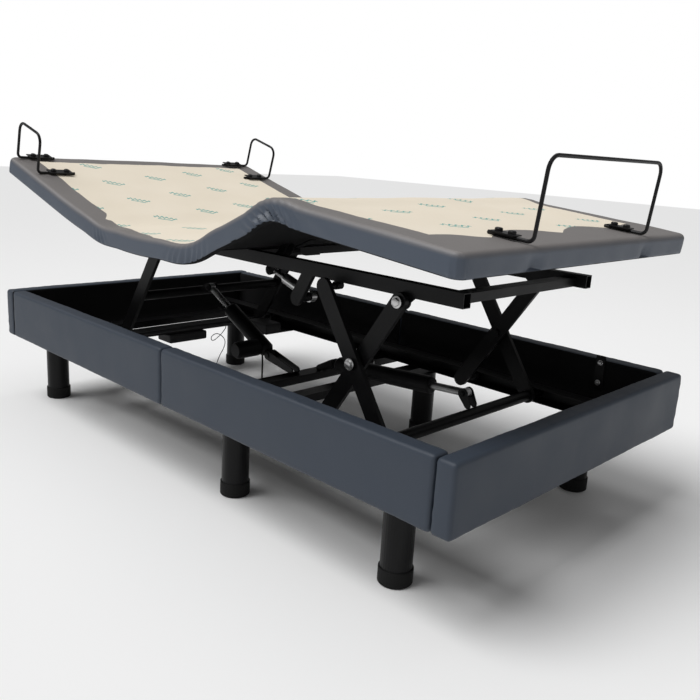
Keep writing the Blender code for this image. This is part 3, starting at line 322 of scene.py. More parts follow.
def coil_place(degrees):
    """A place in the coil, by how far round it is; each turn slides over to its neighbour near its end."""
    number = min(int(degrees // 310), 5)
    part = degrees - 310 * number
    last = 240 if number == 5 else 310
    share = min(max((part - (last - 50)) / 50, 0.0), 1.0)
    share = share * share * (3 - 2 * share)
    (r0, l0), (r1, l1) = cells[number], cells[number + 1]
    radius = r0 + (r1 - r0) * share
    angle = first_angle - math.radians(degrees)
    return coil_centre + Vector((radius * math.cos(angle), radius * math.sin(angle),
                                 floor + rise * (l0 + (l1 - l0) * share)))


turns = [coil_place(10.0 * k) for k in range(0, 180)]
heading = (turns[-1] - turns[-2]).normalized()
heading.z = 0
heading.normalize()
top = turns[-1]
tail = [top + heading * 0.012, top + heading * 0.026, top + heading * 0.040 - Vector((0, 0, 0.0025)),
        top + heading * 0.052 - Vector((0, 0, 0.0080)), top + heading * 0.064 - Vector((0, 0, 0.0112)),
        top + heading * 0.074 - Vector((0, 0, 0.0118))]
lead_in = smooth_line([Vector(p) for p in route] + [turns[0]], 0.010)
mains_line = lead_in + turns[1:] + smooth_line([turns[-1]] + tail, 0.006)[1:]
mains_lead = round_cord("mains_lead", mains_line, CORD, dark_rubber)
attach(mains_lead, "base")
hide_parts("mains_cord", "cord_coil")

# %% Piece helpers and the coil's tie
def clear_selection():
    """Back to object mode with nothing selected."""
    if bpy.context.object is not None and bpy.context.mode != "OBJECT":
        bpy.ops.object.mode_set(mode="OBJECT")
    bpy.ops.object.select_all(action="DESELECT")


def new_box(name, low, high):
    """A cube primitive brought to the space between two corners."""
    clear_selection()
    low, high = Vector(low), Vector(high)
    bpy.ops.mesh.primitive_cube_add(size=1, location=(low + high) / 2)
    piece = bpy.context.object
    piece.name = piece.data.name = name
    piece.scale = high - low
    bpy.ops.object.transform_apply(location=True, rotation=True, scale=True)
    return piece


def choose(piece, kind, test):
    """In edit mode, select the faces or edges whose middle and direction pass a test."""
    clear_selection()
    bpy.context.view_layer.objects.active = piece
    piece.select_set(True)
    bpy.ops.object.mode_set(mode="EDIT")
    bpy.ops.mesh.select_mode(type=kind)
    bpy.ops.mesh.select_all(action="DESELECT")
    bm = bmesh.from_edit_mesh(piece.data)
    found = 0
    for item in (bm.faces if kind == "FACE" else bm.edges):
        middle = item.calc_center_median() if kind == "FACE" else (item.verts[0].co + item.verts[1].co) / 2
        way = item.normal if kind == "FACE" else (item.verts[1].co - item.verts[0].co).normalized()
        if test(middle, way):
            item.select = True
            found += 1
    bm.select_flush_mode()
    bmesh.update_edit_mesh(piece.data)
    return found


def finish_piece(piece, material, body, angle=40):
    """Smooth shading with crisp corners, a finish, and the body it moves with."""
    clear_selection()
    bpy.context.view_layer.objects.active = piece
    piece.select_set(True)
    bpy.ops.object.shade_smooth_by_angle(angle=math.radians(angle))
    if not piece.data.materials:
        piece.data.materials.append(material)
    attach(piece, body)
    return piece


def coil_tie(angle):
    """A flat band round the coil's section."""
    along = Vector((math.cos(angle), math.sin(angle), 0))
    across = Vector((-along.y, along.x, 0))
    middle = coil_centre + along * (near_turn + far_turn) / 2 + Vector((0, 0, floor + rise))
    clear_selection()
    bpy.ops.mesh.primitive_cylinder_add(vertices=24, radius=1, depth=1, end_fill_type="NOTHING")
    band = bpy.context.object
    band.name = band.data.name = "coil_tie"
    for v in band.data.vertices:
        a = math.atan2(v.co.y, v.co.x)
        reach, tall = 0.0078, floor + rise - 0.0004
        v.co = middle + along * reach * math.copysign(abs(math.cos(a)) ** 0.5, math.cos(a)) + Vector(
            (0, 0, tall * math.copysign(abs(math.sin(a)) ** 0.5, math.sin(a)))) + across * v.co.z * 0.012
    wall = band.modifiers.new("wall", "SOLIDIFY")
    wall.thickness = 0.0008
    wall.offset = 1.0
    bpy.ops.object.modifier_apply(modifier="wall")
    return finish_piece(band, moulded_black, "base")


tie = coil_tie(math.radians(250))

# %% The accessory lead
LEAD = 0.0016
lead_floor = LEAD + 0.0003
x = -0.740
lead_route = [(x, 0.246, 0.2244), (x, 0.2452, 0.2107), (x, 0.236, 0.200), (x, 0.222, 0.186),
              (x, 0.204, 0.174), (x + 0.002, 0.186, 0.166), (x + 0.006, 0.170, 0.170),
              (x + 0.009, 0.168, 0.184),
              (x + 0.010, 0.184, 0.194), (x + 0.010, 0.206, 0.190), (x + 0.010, 0.228, 0.172),
              (x + 0.010, 0.236, 0.152), (x + 0.010, 0.228, 0.126), (x + 0.010, 0.213, 0.104),
              (x + 0.010, 0.200, 0.078), (x + 0.012, 0.190, 0.046), (x + 0.018, 0.184, 0.020),
              (x + 0.034, 0.178, lead_floor + 0.002), (x + 0.060, 0.168, lead_floor),
              (x + 0.090, 0.150, lead_floor), (x + 0.120, 0.126, lead_floor)]
lead_line = smooth_line(lead_route, 0.006)
accessory_lead = round_cord("thin_lead", lead_line, LEAD, dark_rubber)
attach(accessory_lead, "base")
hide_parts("accessory_lead")

# %% [markdown]
# ## The upholstered box
# Each side of the box is a timber board wrapped in foam and cover.  The foam rounds every long edge and the
# stapled cover pulls in a little between its fixings, so the faces are never quite flat.  A board starts as a
# plain box; its edges are beveled round, it is cut into a fine lattice, and the lattice is moved a millimetre
# or so by smooth noise and by puckers that start at the corners.

# %% Cutting and moving helpers
def cut_across(piece, axis, places):
    """Cut new edge lines through a whole piece at the given places on an axis."""
    choose(piece, "FACE", lambda middle, way: True)
    normal = [0.0, 0.0, 0.0]
    normal[axis] = 1.0
    for place in places:
        bpy.ops.mesh.select_all(action="SELECT")
        point = [0.0, 0.0, 0.0]
        point[axis] = place
        bpy.ops.mesh.bisect(plane_co=point, plane_no=normal, threshold=0.00002)
    clear_selection()


def lattice(low, high, step):
    """Evenly spaced places strictly between two limits."""
    count = max(1, round((high - low) / step))
    return [low + (high - low) * k / count for k in range(1, count)]


def points_of(piece):
    co = np.empty(len(piece.data.vertices) * 3)
    piece.data.vertices.foreach_get("co", co)
    return co.reshape(-1, 3)


def set_points(piece, co):
    piece.data.vertices.foreach_set("co", np.ascontiguousarray(co).ravel())
    piece.data.update()


def soft_noise(co, scale, seed):
    """Smooth noise from -1 to 1 at each point."""
    shift = Vector((seed, seed * 1.7, -seed))
    return np.array([noise.noise(Vector(p) * scale + shift) for p in co])


def outward(piece):
    normals = np.empty(len(piece.data.vertices) * 3)
    piece.data.vertices.foreach_get("normal", normals)
    return normals.reshape(-1, 3)


print("helpers ready")

# %% Padded boards
EDGE = 0.012


def padded_board(node, seed):
    """One board of the box, in the space of its frame piece."""
    low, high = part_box(node)
    board = new_box(node.replace("board", "cover"), low, high)
    choose(board, "EDGE", lambda middle, way: True)
    bpy.ops.mesh.bevel(offset=EDGE, segments=4, profile=0.55, affect="EDGES")
    clear_selection()
    long_axis = 0 if high.x - low.x > high.y - low.y else 1
    cut_across(board, long_axis, lattice(low[long_axis] + EDGE, high[long_axis] - EDGE, 0.016))
    cut_across(board, 2, lattice(low.z + EDGE, high.z - EDGE, 0.018))
    co = points_of(board)
    normal = outward(board)
    along = co[:, long_axis]
    height = (co[:, 2] - low.z) / (high.z - low.z)
    swell = 0.0011 * soft_noise(co * [1, 1, 1.8], 7.0, seed) + 0.0005 * soft_noise(co, 26.0, seed + 3)
    pucker = np.zeros(len(co))
    for end in (low[long_axis], high[long_axis]):
        near = np.exp(-np.abs(along - end) / 0.030)
        pucker += 0.0007 * near * np.sin(height * 31 + soft_noise(co, 12.0, seed + end) * 2.5)
    rim = np.minimum(height, 1 - height)
    staples = -0.0006 * np.exp(-rim / 0.10) * np.cos(along * 2 * math.pi / 0.085 + seed) ** 2
    set_points(board, co + normal * (swell + pucker + staples - 0.0006)[:, None])
    board.data.materials.append(box_cover)
    board.data.materials.append(lining)
    centre = (low + high) / 2
    for face in board.data.polygons:
        way = face.normal
        if long_axis == 0:
            inside = way.y * math.copysign(1, -centre.y) > 0.7
        else:
            inside = way.x * math.copysign(1, -centre.x) > 0.7
        face.material_index = 1 if inside or way.z < -0.8 else 0
    finish_piece(board, box_cover, "base", 60)
    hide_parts(node)
    return board


boards = [padded_board(name, 1.3 * k + 0.7) for k, name in enumerate(
    ("side_board_near_head", "side_board_near_foot", "side_board_far_head", "side_board_far_foot",
     "end_board_head", "end_board_foot"))]
print("boards with", sum(len(b.data.polygons) for b in boards), "faces")

# %% [markdown]
# ## The deck's cover
# The four deck sections share one tight cover: a thick soft edge in the same cloth as the box, and a cream
# felt-like panel in the middle where the mattress lies.  The easy way to make a cover that is already folded
# is to make it flat first, with its edges, pocket and gathers, and then to bend it over each hinge by the
# angle that the frame stands at.  Each flat place is kept as an attribute, so the pattern follows the cloth.

# %% Flat sizes and bends
HEAD_X, BACK_X, THIGH_X, KNEE_X, FOOT_X = -1.012, -0.352, 0.100, 0.460, 1.005
TOP_Z, SKIRT_Z, HINGE_Z = 0.685, 0.630, 0.6592
HALF_Y = 0.520
SPAN, BACK_SPAN, THIGH_SPAN = 0.105, 0.105, 0.140    # the cover turns over this much on each side of a hinge
BACK_BRIDGE, BACK_REACH = 0.0095, 0.130              # how high and how far the cloth bridges a hollow fold
THIGH_BRIDGE, THIGH_REACH = 0.0105, 0.145
bends = {"back": math.radians(16.0), "thigh": math.radians(25.0), "knee": math.radians(30.4)}


def ease(t):
    t = np.clip(t, 0.0, 1.0)
    return t * t * (3 - 2 * t)


def turn_about(co, x, z, angle):
    """Turn each point about a cross line by its own angle; positive lifts the foot side."""
    dx, dz = co[:, 0] - x, co[:, 2] - z
    out = co.copy()
    out[:, 0] = x + dx * np.cos(angle) - dz * np.sin(angle)
    out[:, 2] = z + dx * np.sin(angle) + dz * np.cos(angle)
    return out


def folded(co):
    """Flat places of the deck brought to where the frame stands."""
    x = co[:, 0]
    out = turn_about(co, KNEE_X, HINGE_Z, -bends["knee"] * ease((x - KNEE_X + SPAN) / (2 * SPAN)))
    thigh_turn = bends["thigh"] * ease((x - THIGH_X + THIGH_SPAN) / (2 * THIGH_SPAN))
    out = turn_about(out, THIGH_X, HINGE_Z, thigh_turn)
    # the cloth bridges both hollow folds, with room for the boards to fold further
    over_thigh = THIGH_BRIDGE * np.exp(-((x - THIGH_X) / THIGH_REACH) ** 2)
    out[:, 2] += over_thigh + BACK_BRIDGE * np.exp(-((x - BACK_X) / BACK_REACH) ** 2)
    return turn_about(out, BACK_X, HINGE_Z, -bends["back"] * ease((BACK_X + BACK_SPAN - x) / (2 * BACK_SPAN)))


def folded_point(x, y, z):
    return tuple(float(v) for v in folded(np.array([[x, y, z]]))[0])


print("knee stands at", [round(v, 3) for v in folded_point(KNEE_X, 0, HINGE_Z)])

# %% The flat cover
flat_cover = new_box("deck_cover", (HEAD_X, -HALF_Y, SKIRT_Z), (FOOT_X, HALF_Y, TOP_Z))
choose(flat_cover, "EDGE", lambda middle, way: abs(way.z) > 0.9)
bpy.ops.mesh.bevel(offset=0.028, segments=8, affect="EDGES")
choose(flat_cover, "FACE", lambda middle, way: way.z < -0.9)
bpy.ops.mesh.inset(thickness=0.018)
bpy.ops.mesh.extrude_region_move(TRANSFORM_OT_translate={"value": (0, 0, 0.0503)})
choose(flat_cover, "EDGE", lambda middle, way: middle.z > TOP_Z - 0.001)
bpy.ops.mesh.bevel(offset=0.015, segments=5, affect="EDGES")
choose(flat_cover, "EDGE", lambda middle, way: middle.z < SKIRT_Z + 0.0005 and max(
    abs(middle.y) / HALF_Y, (middle.x - 0.0) / FOOT_X, -middle.x / 1.012) > 0.975)
bpy.ops.mesh.bevel(offset=0.006, segments=3, affect="EDGES")
clear_selection()
cuts = [x for hinge in (BACK_X, THIGH_X, KNEE_X) for x in lattice(hinge - 0.117, hinge + 0.117, 0.0060)]
cuts += lattice(HEAD_X, BACK_X - 0.12, 0.020) + lattice(BACK_X + 0.12, THIGH_X - 0.12, 0.020)
cuts += lattice(THIGH_X + 0.12, KNEE_X - 0.12, 0.020) + lattice(KNEE_X + 0.12, FOOT_X, 0.013)
cut_across(flat_cover, 0, sorted(cuts))
cut_across(flat_cover, 1, lattice(-HALF_Y, HALF_Y, 0.026))
cut_across(flat_cover, 2, [0.6350, 0.6400, 0.6455, 0.6510, 0.6565, 0.6620, 0.6675])
print("flat cover has", len(flat_cover.data.polygons), "faces")

# %% Gathers, puckers and slack
# each hinge: its place, then the gathers' height, reach, pitch and lean
HINGE_GATHERS = ((BACK_X, 0.0026, 0.034, 0.021, 0.5), (THIGH_X, 0.0030, 0.090, 0.026, -0.5),
                 (KNEE_X, 0.0068, 0.075, 0.0235, 0.9))
CORNER_PLACES = ((FOOT_X - 0.03, 0.49), (FOOT_X - 0.03, -0.49), (HEAD_X + 0.03, 0.49), (HEAD_X + 0.03, -0.49))
RETAINER_Y = 0.265                             # the foot retainer's posts press the edge here


def gathers(co, normal):
    """How far each point of the flat cover stands out or in."""
    x, y, z = co.T
    side = ease((np.abs(y) - 0.500) / 0.015)
    end = ease((np.maximum(x - (FOOT_X - 0.02), (HEAD_X + 0.02) - x)) / 0.015)
    deep = ease((TOP_Z - 0.004 - z) / 0.040)
    move = 0.0026 * soft_noise(co, 4.0, 4.1) + 0.0012 * soft_noise(co, 13.0, 9.3)
    for hinge, size, reach, pitch, lean in HINGE_GATHERS:
        wander = soft_noise(co * [1, 0.2, 1], 24.0, hinge + 2.0)
        wave = np.sin((x - hinge + lean * (z - HINGE_Z)) * 2 * math.pi / pitch + 2.2 * wander)
        near = np.exp(-((x - hinge) / reach) ** 2)
        move += size * wave * near * (0.18 + 0.82 * deep ** 1.5) * side
    drag = np.sin((x - KNEE_X) * 48 + z * 95 + 1.6 * soft_noise(co, 9.0, 1.9))
    move += 0.0030 * drag * side * deep * np.exp(-((x - KNEE_X - 0.04) / 0.13) ** 2)
    for cx, cy in CORNER_PLACES:
        away = np.hypot(x - cx, y - cy)
        spoke = np.arctan2(y - cy, x - cx)
        move += 0.0014 * (1 + np.sin(spoke * 13 + z * 60)) * np.exp(-(away / 0.055) ** 2) * deep
    for cy in (-RETAINER_Y, RETAINER_Y):
        pull = np.exp(-((y - cy) / 0.016) ** 2) * np.exp(-((x - FOOT_X) / 0.05) ** 2)
        move -= (0.0025 + 0.0085 * deep) * pull
    move += end * 0.0009 * np.sin(y * 71 + 2 * soft_noise(co, 8.0, 6.6)) * deep
    move = np.where(z > TOP_Z - 0.020, np.clip(move, -0.0028, 0.0040), move)
    inside = (normal[:, 2] < -0.5) | (z < SKIRT_Z + 0.001)
    return np.where(inside, 0.0, move)


co = points_of(flat_cover)
normal = outward(flat_cover)
kept = flat_cover.data.attributes.new("flat_place", "FLOAT_VECTOR", "POINT")
kept.data.foreach_set("vector", np.ascontiguousarray(co, dtype=np.float32).ravel())
pocket = (np.abs(co[:, 1]) < HALF_Y - 0.017) & (co[:, 2] < TOP_Z - 0.002) & (co[:, 0] > HEAD_X + 0.017) & (
    co[:, 0] < FOOT_X - 0.017)
shift = gathers(co, normal)
shift[pocket] = 0.0
set_points(flat_cover, co + normal * shift[:, None])
print("largest gather", round(float(np.abs(shift).max()) * 1000, 2), "mm")

# %% [markdown]
# ## The cover's finish
# One material serves the whole cover.  It reads the kept flat place: the height says what is skirt and what
# is top, and a ramp along the length says how wide the grey border is beside the cream panel.  The top of the
# edge is painted lighter than its skirt: painted light from above, on cloth that is the same all round.  The
# panel carries a scattered wave motif in faded green.  A fine seam is pressed in down each long skirt and
# across each foot corner.

# %% Cover material
def ramp(material, factor, stops):
    """A straight ramp of grey values."""
    made = material.node_tree.nodes.new("ShaderNodeValToRGB")
    material.node_tree.links.new(factor.outputs[0], made.inputs[0])
    band = made.color_ramp
    while len(band.elements) > 1:
        band.elements.remove(band.elements[-1])
    band.elements[0].position = stops[0][0]
    band.elements[0].color = (stops[0][1],) * 3 + (1,)
    for place, value in stops[1:]:
        band.elements.new(place).color = (value,) * 3 + (1,)
    return made


def along_share(x):
    return (x - HEAD_X) / (FOOT_X - HEAD_X)


SEAM_X = -0.035


def deck_finish():
    material, shader = new_finish("deck_cloth")
    flat = add_node(material, "Attribute", attribute_name="flat_place")
    parts = add_node(material, "SeparateXYZ", {"Vector": (flat, "Vector")})
    rough_edge = add_node(material, "TexNoise", {"Vector": (flat, "Vector")}, Scale=14.0, Detail=3.0)
    share = add_node(material, "MapRange", {"Value": (parts, "X")}, From_Min=HEAD_X, From_Max=FOOT_X)
    widths = ((HEAD_X, 0.086), (-0.46, 0.078), (-0.412, 0.050), (-0.395, 0.064), (-0.30, 0.058),
              (-0.14, 0.040), (-0.08, 0.022), (0.02, 0.016), (0.30, 0.014), (0.44, 0.016), (0.50, 0.045),
              (0.62, 0.070), (0.80, 0.080), (FOOT_X, 0.086))
    border = ramp(material, share, [(along_share(x), w * 5) for x, w in widths])
    border_width = math_node(material, "MULTIPLY_ADD", (border, 0), 0.2, 0.0)
    across = math_node(material, "ABSOLUTE", (parts, "Y"))
    edge = math_node(material, "SUBTRACT", HALF_Y, (border_width, 0))
    waver = math_node(material, "MULTIPLY_ADD", (rough_edge, "Fac"), 0.012, -0.006)
    edge_2 = math_node(material, "ADD", (edge, 0), (waver, 0))
    in_side = math_node(material, "LESS_THAN", (across, 0), (edge_2, 0))
    wave = math_node(material, "MULTIPLY", (parts, "Y"), 10.65)
    wave_2 = math_node(material, "SINE", (wave, 0))
    wave_3 = math_node(material, "ABSOLUTE", (wave_2, 0))
    foot_edge = math_node(material, "MULTIPLY_ADD", (wave_3, 0), -0.050, FOOT_X - 0.095)
    foot_edge_2 = math_node(material, "ADD", (foot_edge, 0), (waver, 0))
    in_foot = math_node(material, "LESS_THAN", (parts, "X"), (foot_edge_2, 0))
    head_edge = math_node(material, "ADD", (waver, 0), HEAD_X + 0.055)
    in_head = math_node(material, "GREATER_THAN", (parts, "X"), (head_edge, 0))
    panel = math_node(material, "MULTIPLY", (in_side, 0), (in_foot, 0))
    panel_2 = math_node(material, "MULTIPLY", (panel, 0), (in_head, 0))
    on_top = math_node(material, "GREATER_THAN", (parts, "Z"), TOP_Z - 0.0025)
    panel_3 = math_node(material, "MULTIPLY", (panel_2, 0), (on_top, 0))
    # the wave motif, in staggered rows
    along = math_node(material, "MULTIPLY", (parts, "X"), 0.50)
    along_2 = math_node(material, "MULTIPLY_ADD", (parts, "Y"), 0.866, (along, 0))
    cross = math_node(material, "MULTIPLY", (parts, "X"), -0.866)
    cross_2 = math_node(material, "MULTIPLY_ADD", (parts, "Y"), 0.50, (cross, 0))
    row = math_node(material, "DIVIDE", (cross_2, 0), 0.150)
    row_number = math_node(material, "FLOOR", (row, 0))
    in_row = math_node(material, "FRACT", (row, 0))
    offset = math_node(material, "MULTIPLY_ADD", (row_number, 0), 0.37, 0.0)
    column = math_node(material, "DIVIDE", (along_2, 0), 0.230)
    column_2 = math_node(material, "ADD", (column, 0), (offset, 0))
    in_column = math_node(material, "FRACT", (column_2, 0))
    a = math_node(material, "MULTIPLY_ADD", (in_column, 0), 0.230, -0.115)
    b = math_node(material, "MULTIPLY_ADD", (in_row, 0), 0.150, -0.075)
    ripple = math_node(material, "MULTIPLY", (a, 0), 2 * math.pi / 0.0152)
    ripple_2 = math_node(material, "SINE", (ripple, 0))
    lifted = math_node(material, "MULTIPLY_ADD", (ripple_2, 0), -0.0060, (b, 0))
    lifted_2 = math_node(material, "ABSOLUTE", (lifted, 0))
    thin = math_node(material, "LESS_THAN", (lifted_2, 0), 0.0052)
    reach = math_node(material, "ABSOLUTE", (a, 0))
    short = math_node(material, "LESS_THAN", (reach, 0), 0.038)
    mark = math_node(material, "MULTIPLY", (thin, 0), (short, 0))
    under = math_node(material, "ADD", (b, 0), 0.0180)
    under_2 = math_node(material, "ABSOLUTE", (under, 0))
    under_3 = math_node(material, "LESS_THAN", (under_2, 0), 0.0032)
    shorter = math_node(material, "LESS_THAN", (reach, 0), 0.024)
    mark_2 = math_node(material, "MULTIPLY", (under_3, 0), (shorter, 0))
    mark_3 = math_node(material, "MAXIMUM", (mark, 0), (mark_2, 0))
    faded = add_node(material, "TexNoise", {"Vector": (flat, "Vector")}, Scale=160.0, Detail=2.0)
    mark_4 = math_node(material, "MULTIPLY", (mark_3, 0), (faded, "Fac"))
    mark_5 = math_node(material, "MULTIPLY", (mark_4, 0), 1.9)
    # colours
    cloud = add_node(material, "TexNoise", {"Vector": (flat, "Vector")}, Scale=6.0, Detail=5.0)
    fibre = add_node(material, "TexNoise", {"Vector": (flat, "Vector")}, Scale=420.0, Detail=4.0)
    cream = mix_colour(material, (cloud, "Fac"), (0.765, 0.685, 0.555), (0.83, 0.755, 0.635))
    printed = mix_colour(material, (mark_5, 0), (0.8, 0.7, 0.6), (0.10, 0.36, 0.33))
    material.node_tree.links.new(cream.outputs[2], printed.inputs[6])
    slate = mix_colour(material, (cloud, "Fac"), (0.057, 0.073, 0.101), (0.072, 0.090, 0.121))
    # painted light: the edge's top gets a lighter taupe than the slate skirt below it, painted light from
    # above on one cloth
    painted_top_light = mix_colour(material, (cloud, "Fac"), (0.165, 0.154, 0.150), (0.200, 0.186, 0.181))
    painted_light_share = add_node(material, "MapRange", {"Value": (parts, "Z")}, From_Min=TOP_Z - 0.016,
                         From_Max=TOP_Z - 0.002)
    edge_cloth_and_painted_light = mix_colour(material, (painted_light_share, "Result"), (0.1, 0.1, 0.1), (0.2, 0.2, 0.2))
    material.node_tree.links.new(slate.outputs[2], edge_cloth_and_painted_light.inputs[6])
    material.node_tree.links.new(painted_top_light.outputs[2], edge_cloth_and_painted_light.inputs[7])
    whole = mix_colour(material, (panel_3, 0), (0.1, 0.1, 0.1), (0.8, 0.8, 0.8))
    material.node_tree.links.new(edge_cloth_and_painted_light.outputs[2], whole.inputs[6])
    material.node_tree.links.new(printed.outputs[2], whole.inputs[7])
    material.node_tree.links.new(whole.outputs[2], shader.inputs["Base Color"])
    gloss = add_node(material, "MapRange", {"Value": (panel_3, 0)}, To_Min=0.46, To_Max=0.92)
    wire_up(material, gloss, "Result", shader, "Roughness")
    cells = add_node(material, "TexVoronoi", {"Vector": (flat, "Vector")}, Scale=620.0)
    relief = mix_colour(material, (panel_3, 0), (0.5, 0.5, 0.5), (0.5, 0.5, 0.5))
    material.node_tree.links.new(cells.outputs["Distance"], relief.inputs[6])
    material.node_tree.links.new(fibre.outputs["Fac"], relief.inputs[7])
    step = math_node(material, "MULTIPLY_ADD", (panel_3, 0), -0.6, (relief, 2))
    # sewn seams: one down each long skirt, one across each foot corner
    from_seam = math_node(material, "SUBTRACT", (parts, "X"), SEAM_X)
    from_seam_2 = math_node(material, "ABSOLUTE", (from_seam, 0))
    near_seam = math_node(material, "LESS_THAN", (from_seam_2, 0), 0.0022)
    on_skirt = math_node(material, "GREATER_THAN", (across, 0), HALF_Y - 0.004)
    side_seam = math_node(material, "MULTIPLY", (near_seam, 0), (on_skirt, 0))
    slant = math_node(material, "SUBTRACT", (parts, "X"), (across, 0))
    slant_2 = math_node(material, "SUBTRACT", (slant, 0), FOOT_X - HALF_Y)
    slant_3 = math_node(material, "ABSOLUTE", (slant_2, 0))
    near_corner = math_node(material, "LESS_THAN", (slant_3, 0), 0.0026)
    outer_part = math_node(material, "GREATER_THAN", (across, 0), HALF_Y - 0.045)
    corner_seam = math_node(material, "MULTIPLY", (near_corner, 0), (outer_part, 0))
    seams = math_node(material, "MAXIMUM", (side_seam, 0), (corner_seam, 0))
    step = math_node(material, "MULTIPLY_ADD", (seams, 0), -3.0, (step, 0))
    bump = add_node(material, "Bump", {"Height": (step, 0)}, Strength=0.35, Distance=0.0007)
    wire_up(material, bump, "Normal", shader, "Normal")
    return material


deck_cloth = deck_finish()
flat_cover.data.materials.append(deck_cloth)
flat_cover.data.materials.append(lining)
middles = np.array([tuple(face.center) + tuple(face.normal) for face in flat_cover.data.polygons])
under = (middles[:, 5] < -0.7) | ((np.abs(middles[:, 1]) < HALF_Y - 0.0165) & (middles[:, 2] < TOP_Z - 0.003)
                                  & (middles[:, 0] > HEAD_X + 0.0165) & (middles[:, 0] < FOOT_X - 0.0165))
for face, hidden in zip(flat_cover.data.polygons, under):
    face.material_index = 1 if hidden else 0
print("cover faces in lining:", int(under.sum()))

# %% Three lengths of cover, bent over their hinges
def cover_length(name, start, end):
    """A copy of the flat cover, cut to a length and folded as the frame stands."""
    clear_selection()
    piece = flat_cover.copy()
    piece.data = flat_cover.data.copy()
    piece.name = piece.data.name = name
    bpy.context.scene.collection.objects.link(piece)
    for place, way in ((start, 1.0), (end, -1.0)):
        if place is None:
            continue
        choose(piece, "FACE", lambda middle, direction: True)
        bpy.ops.mesh.select_all(action="SELECT")
        bpy.ops.mesh.bisect(plane_co=(place, 0, 0), plane_no=(way, 0, 0), clear_inner=True, use_fill=True,
                            threshold=0.00002)
        clear_selection()
    set_points(piece, folded(points_of(piece)))
    clear_selection()
    bpy.context.view_layer.objects.active = piece
    piece.select_set(True)
    bpy.ops.object.shade_smooth_by_angle(angle=math.radians(50))
    return piece


SEAT_CUT, THIGH_CUT = -0.126, 0.280
back_cover = cover_length("back_cover", None, SEAT_CUT)
seat_cover = cover_length("seat_cover", SEAT_CUT, THIGH_CUT)
foot_cover = cover_length("foot_cover", THIGH_CUT, None)
bpy.data.objects.remove(flat_cover, do_unlink=True)
for piece, still, moving, start_x, end_x, stands_for in (
        (back_cover, "lift_frame", "back_section", BACK_X + BACK_SPAN, BACK_X - BACK_SPAN, ["back_pad"]),
        (seat_cover, "lift_frame", "thigh_section", THIGH_X - THIGH_SPAN, THIGH_X + THIGH_SPAN, ["seat_pad"]),
        (foot_cover, "thigh_section", "foot_section", KNEE_X - SPAN, KNEE_X + SPAN,
         ["thigh_pad", "foot_pad"])):
    folded_point(start_x, 0, HINGE_Z)
    folded_point(end_x, 0, HINGE_Z)
    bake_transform(piece)
    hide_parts(*stands_for)
print("cover lengths have", [len(p.data.polygons) for p in (back_cover, seat_cover, foot_cover)], "faces")

# %% [markdown]
# ## Bolts and small fittings
# The arms turn on shoulder bolts with zinc-plated hexagon heads, and a narrow bracket holds the far board at
# the foot end.  One bolt is shaped from a six-sided cylinder with its corners taken off, set on a round
# washer.

# %% Hexagon bolts and the wall bracket
def hex_bolt(name, place, side, across, body):
    """A hexagon head on a washer, its axis across the bed; side is -1 towards the near side."""
    clear_selection()
    turn = (math.pi / 2, 0, 0)
    x, y, z = place
    bpy.ops.mesh.primitive_cylinder_add(vertices=28, radius=across * 0.78, depth=0.0018,
                                        location=(x, y + side * 0.0009, z), rotation=turn)
    washer = bpy.context.object
    bpy.ops.object.transform_apply(location=True, rotation=True, scale=True)
    clear_selection()
    bpy.ops.mesh.primitive_cylinder_add(vertices=6, radius=across * 0.577, depth=0.0062,
                                        location=(x, y + side * 0.0049, z), rotation=turn)
    head = bpy.context.object
    bpy.ops.object.transform_apply(location=True, rotation=True, scale=True)
    for piece, width in ((washer, 0.0004), (head, 0.0007)):
        choose(piece, "EDGE", lambda middle, way: True)
        bpy.ops.mesh.select_all(action="SELECT")
        bpy.ops.mesh.bevel(offset=width, segments=2, affect="EDGES")
        clear_selection()
    finish_piece(washer, zinc_plate, body, 30)
    finish_piece(head, zinc_plate, body, 30)
    washer.name = washer.data.name = name + "_washer"
    head.name = head.data.name = name
    return head


for side_name, side in (("near", -1.0), ("far", 1.0)):
    for label, node, body, x, z, stand in (("cross_bolt", "outer_arm", "outer_arms", 0.5345, 0.4455, 0.0),
                                           ("top_bolt", "head_arm", "inner_arms", 0.650, 0.6185, 0.0058),
                                           ("head_bolt", "head_arm", "head_arms", -0.370, 0.6185, 0.0058)):
        low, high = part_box(node + "_" + side_name)
        face = low.y if side < 0 else high.y
        hex_bolt(label + "_" + side_name, (x, face + side * stand, z), side, 0.019, body)
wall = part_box("side_board_far_foot")[0].y
bracket = new_box("wall_bracket", (0.776, wall - 0.0042, 0.300), (0.806, wall - 0.0006, 0.405))
choose(bracket, "EDGE", lambda middle, way: abs(way.y) > 0.9)
bpy.ops.mesh.bevel(offset=0.006, segments=4, affect="EDGES")
choose(bracket, "FACE", lambda middle, way: way.y < -0.9)
bpy.ops.mesh.inset(thickness=0.0012)
bpy.ops.mesh.extrude_region_move(TRANSFORM_OT_translate={"value": (0, -0.0006, 0)})
clear_selection()
finish_piece(bracket, powder_coat, "base", 30)
for number, height in enumerate((0.322, 0.383)):
    hex_bolt("bracket_bolt_" + "ab"[number], (0.791, wall - 0.0048, height), -1.0, 0.011, "base")
print("bolts and bracket fitted, wall face at", round(wall, 4))

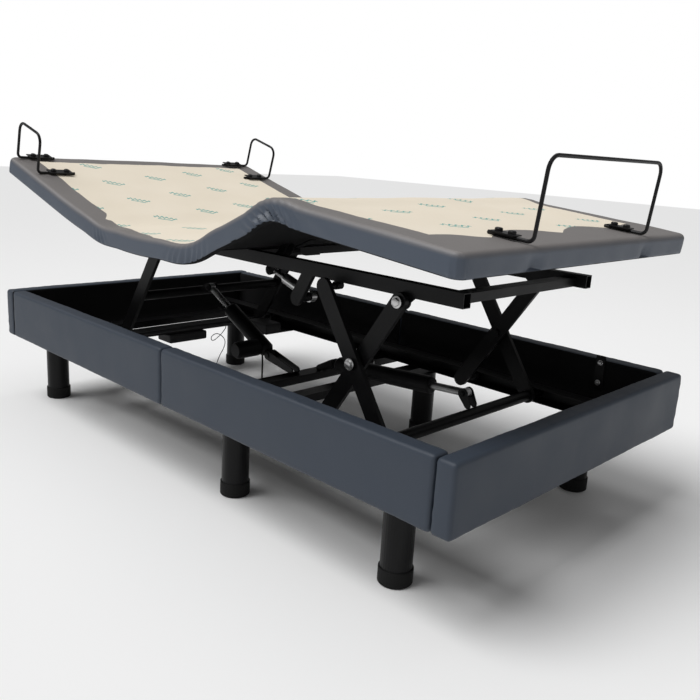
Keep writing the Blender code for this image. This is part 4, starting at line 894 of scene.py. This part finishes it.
# %% [markdown]
# ## Floor and light
# The floor is plain and pale.  A wide, soft sun stands on the near side towards the head end, so the face of
# the foot end lies in shade.  A weak round lamp hangs overhead, and an even sky keeps the shadows open.  How
# pale the sky looks is set apart from how much it lights.

# %% Floor, sky and lamps
clear_selection()
bpy.ops.mesh.primitive_grid_add(x_subdivisions=2, y_subdivisions=2, size=40, location=(0, 0, -0.0005))
ground = bpy.context.object
ground.name = "ground"
bpy.ops.object.transform_apply(location=True, rotation=True, scale=True)
ground_finish, ground_shader = new_finish("pale_ground")
ground_shader.inputs["Base Color"].default_value = (0.93, 0.93, 0.93, 1)
ground_shader.inputs["Roughness"].default_value = 0.9
ground.data.materials.append(ground_finish)
world = bpy.data.worlds.new("pale_sky")
bpy.context.scene.world = world
world.use_nodes = True
sky = world.node_tree.nodes["Background"]
sky.inputs["Color"].default_value = (1.0, 1.0, 1.0, 1)
seen = world.node_tree.nodes.new("ShaderNodeLightPath")
strength = world.node_tree.nodes.new("ShaderNodeMapRange")
strength.inputs["To Min"].default_value = 0.24          # what the sky lights the bed with
strength.inputs["To Max"].default_value = 1.00          # how pale the sky itself looks
world.node_tree.links.new(seen.outputs["Is Camera Ray"], strength.inputs["Value"])
world.node_tree.links.new(strength.outputs["Result"], sky.inputs["Strength"])
bpy.context.scene.view_settings.view_transform = "Standard"


def soft_lamp(name, place, target, size, power):
    data = bpy.data.lights.new(name, "AREA")
    data.shape = "DISK"
    data.size = size
    data.energy = power
    lamp = bpy.data.objects.new(name, data)
    bpy.context.scene.collection.objects.link(lamp)
    lamp.location = place
    lamp.rotation_euler = (Vector(target) - Vector(place)).to_track_quat("-Z", "Y").to_euler()
    return lamp


soft_lamp("top_lamp", (-0.4, 0.5, 4.4), (0, 0, 0.5), 3.0, 26)
sun = bpy.data.lights.new("soft_sun", "SUN")
sun.energy = 2.3
sun.angle = math.radians(38)
sun_lamp = bpy.data.objects.new("soft_sun", sun)
bpy.context.scene.collection.objects.link(sun_lamp)
sun_lamp.rotation_euler = Vector((0.32, 0.50, -1.0)).to_track_quat("-Z", "Y").to_euler()
print("lamps and floor ready")
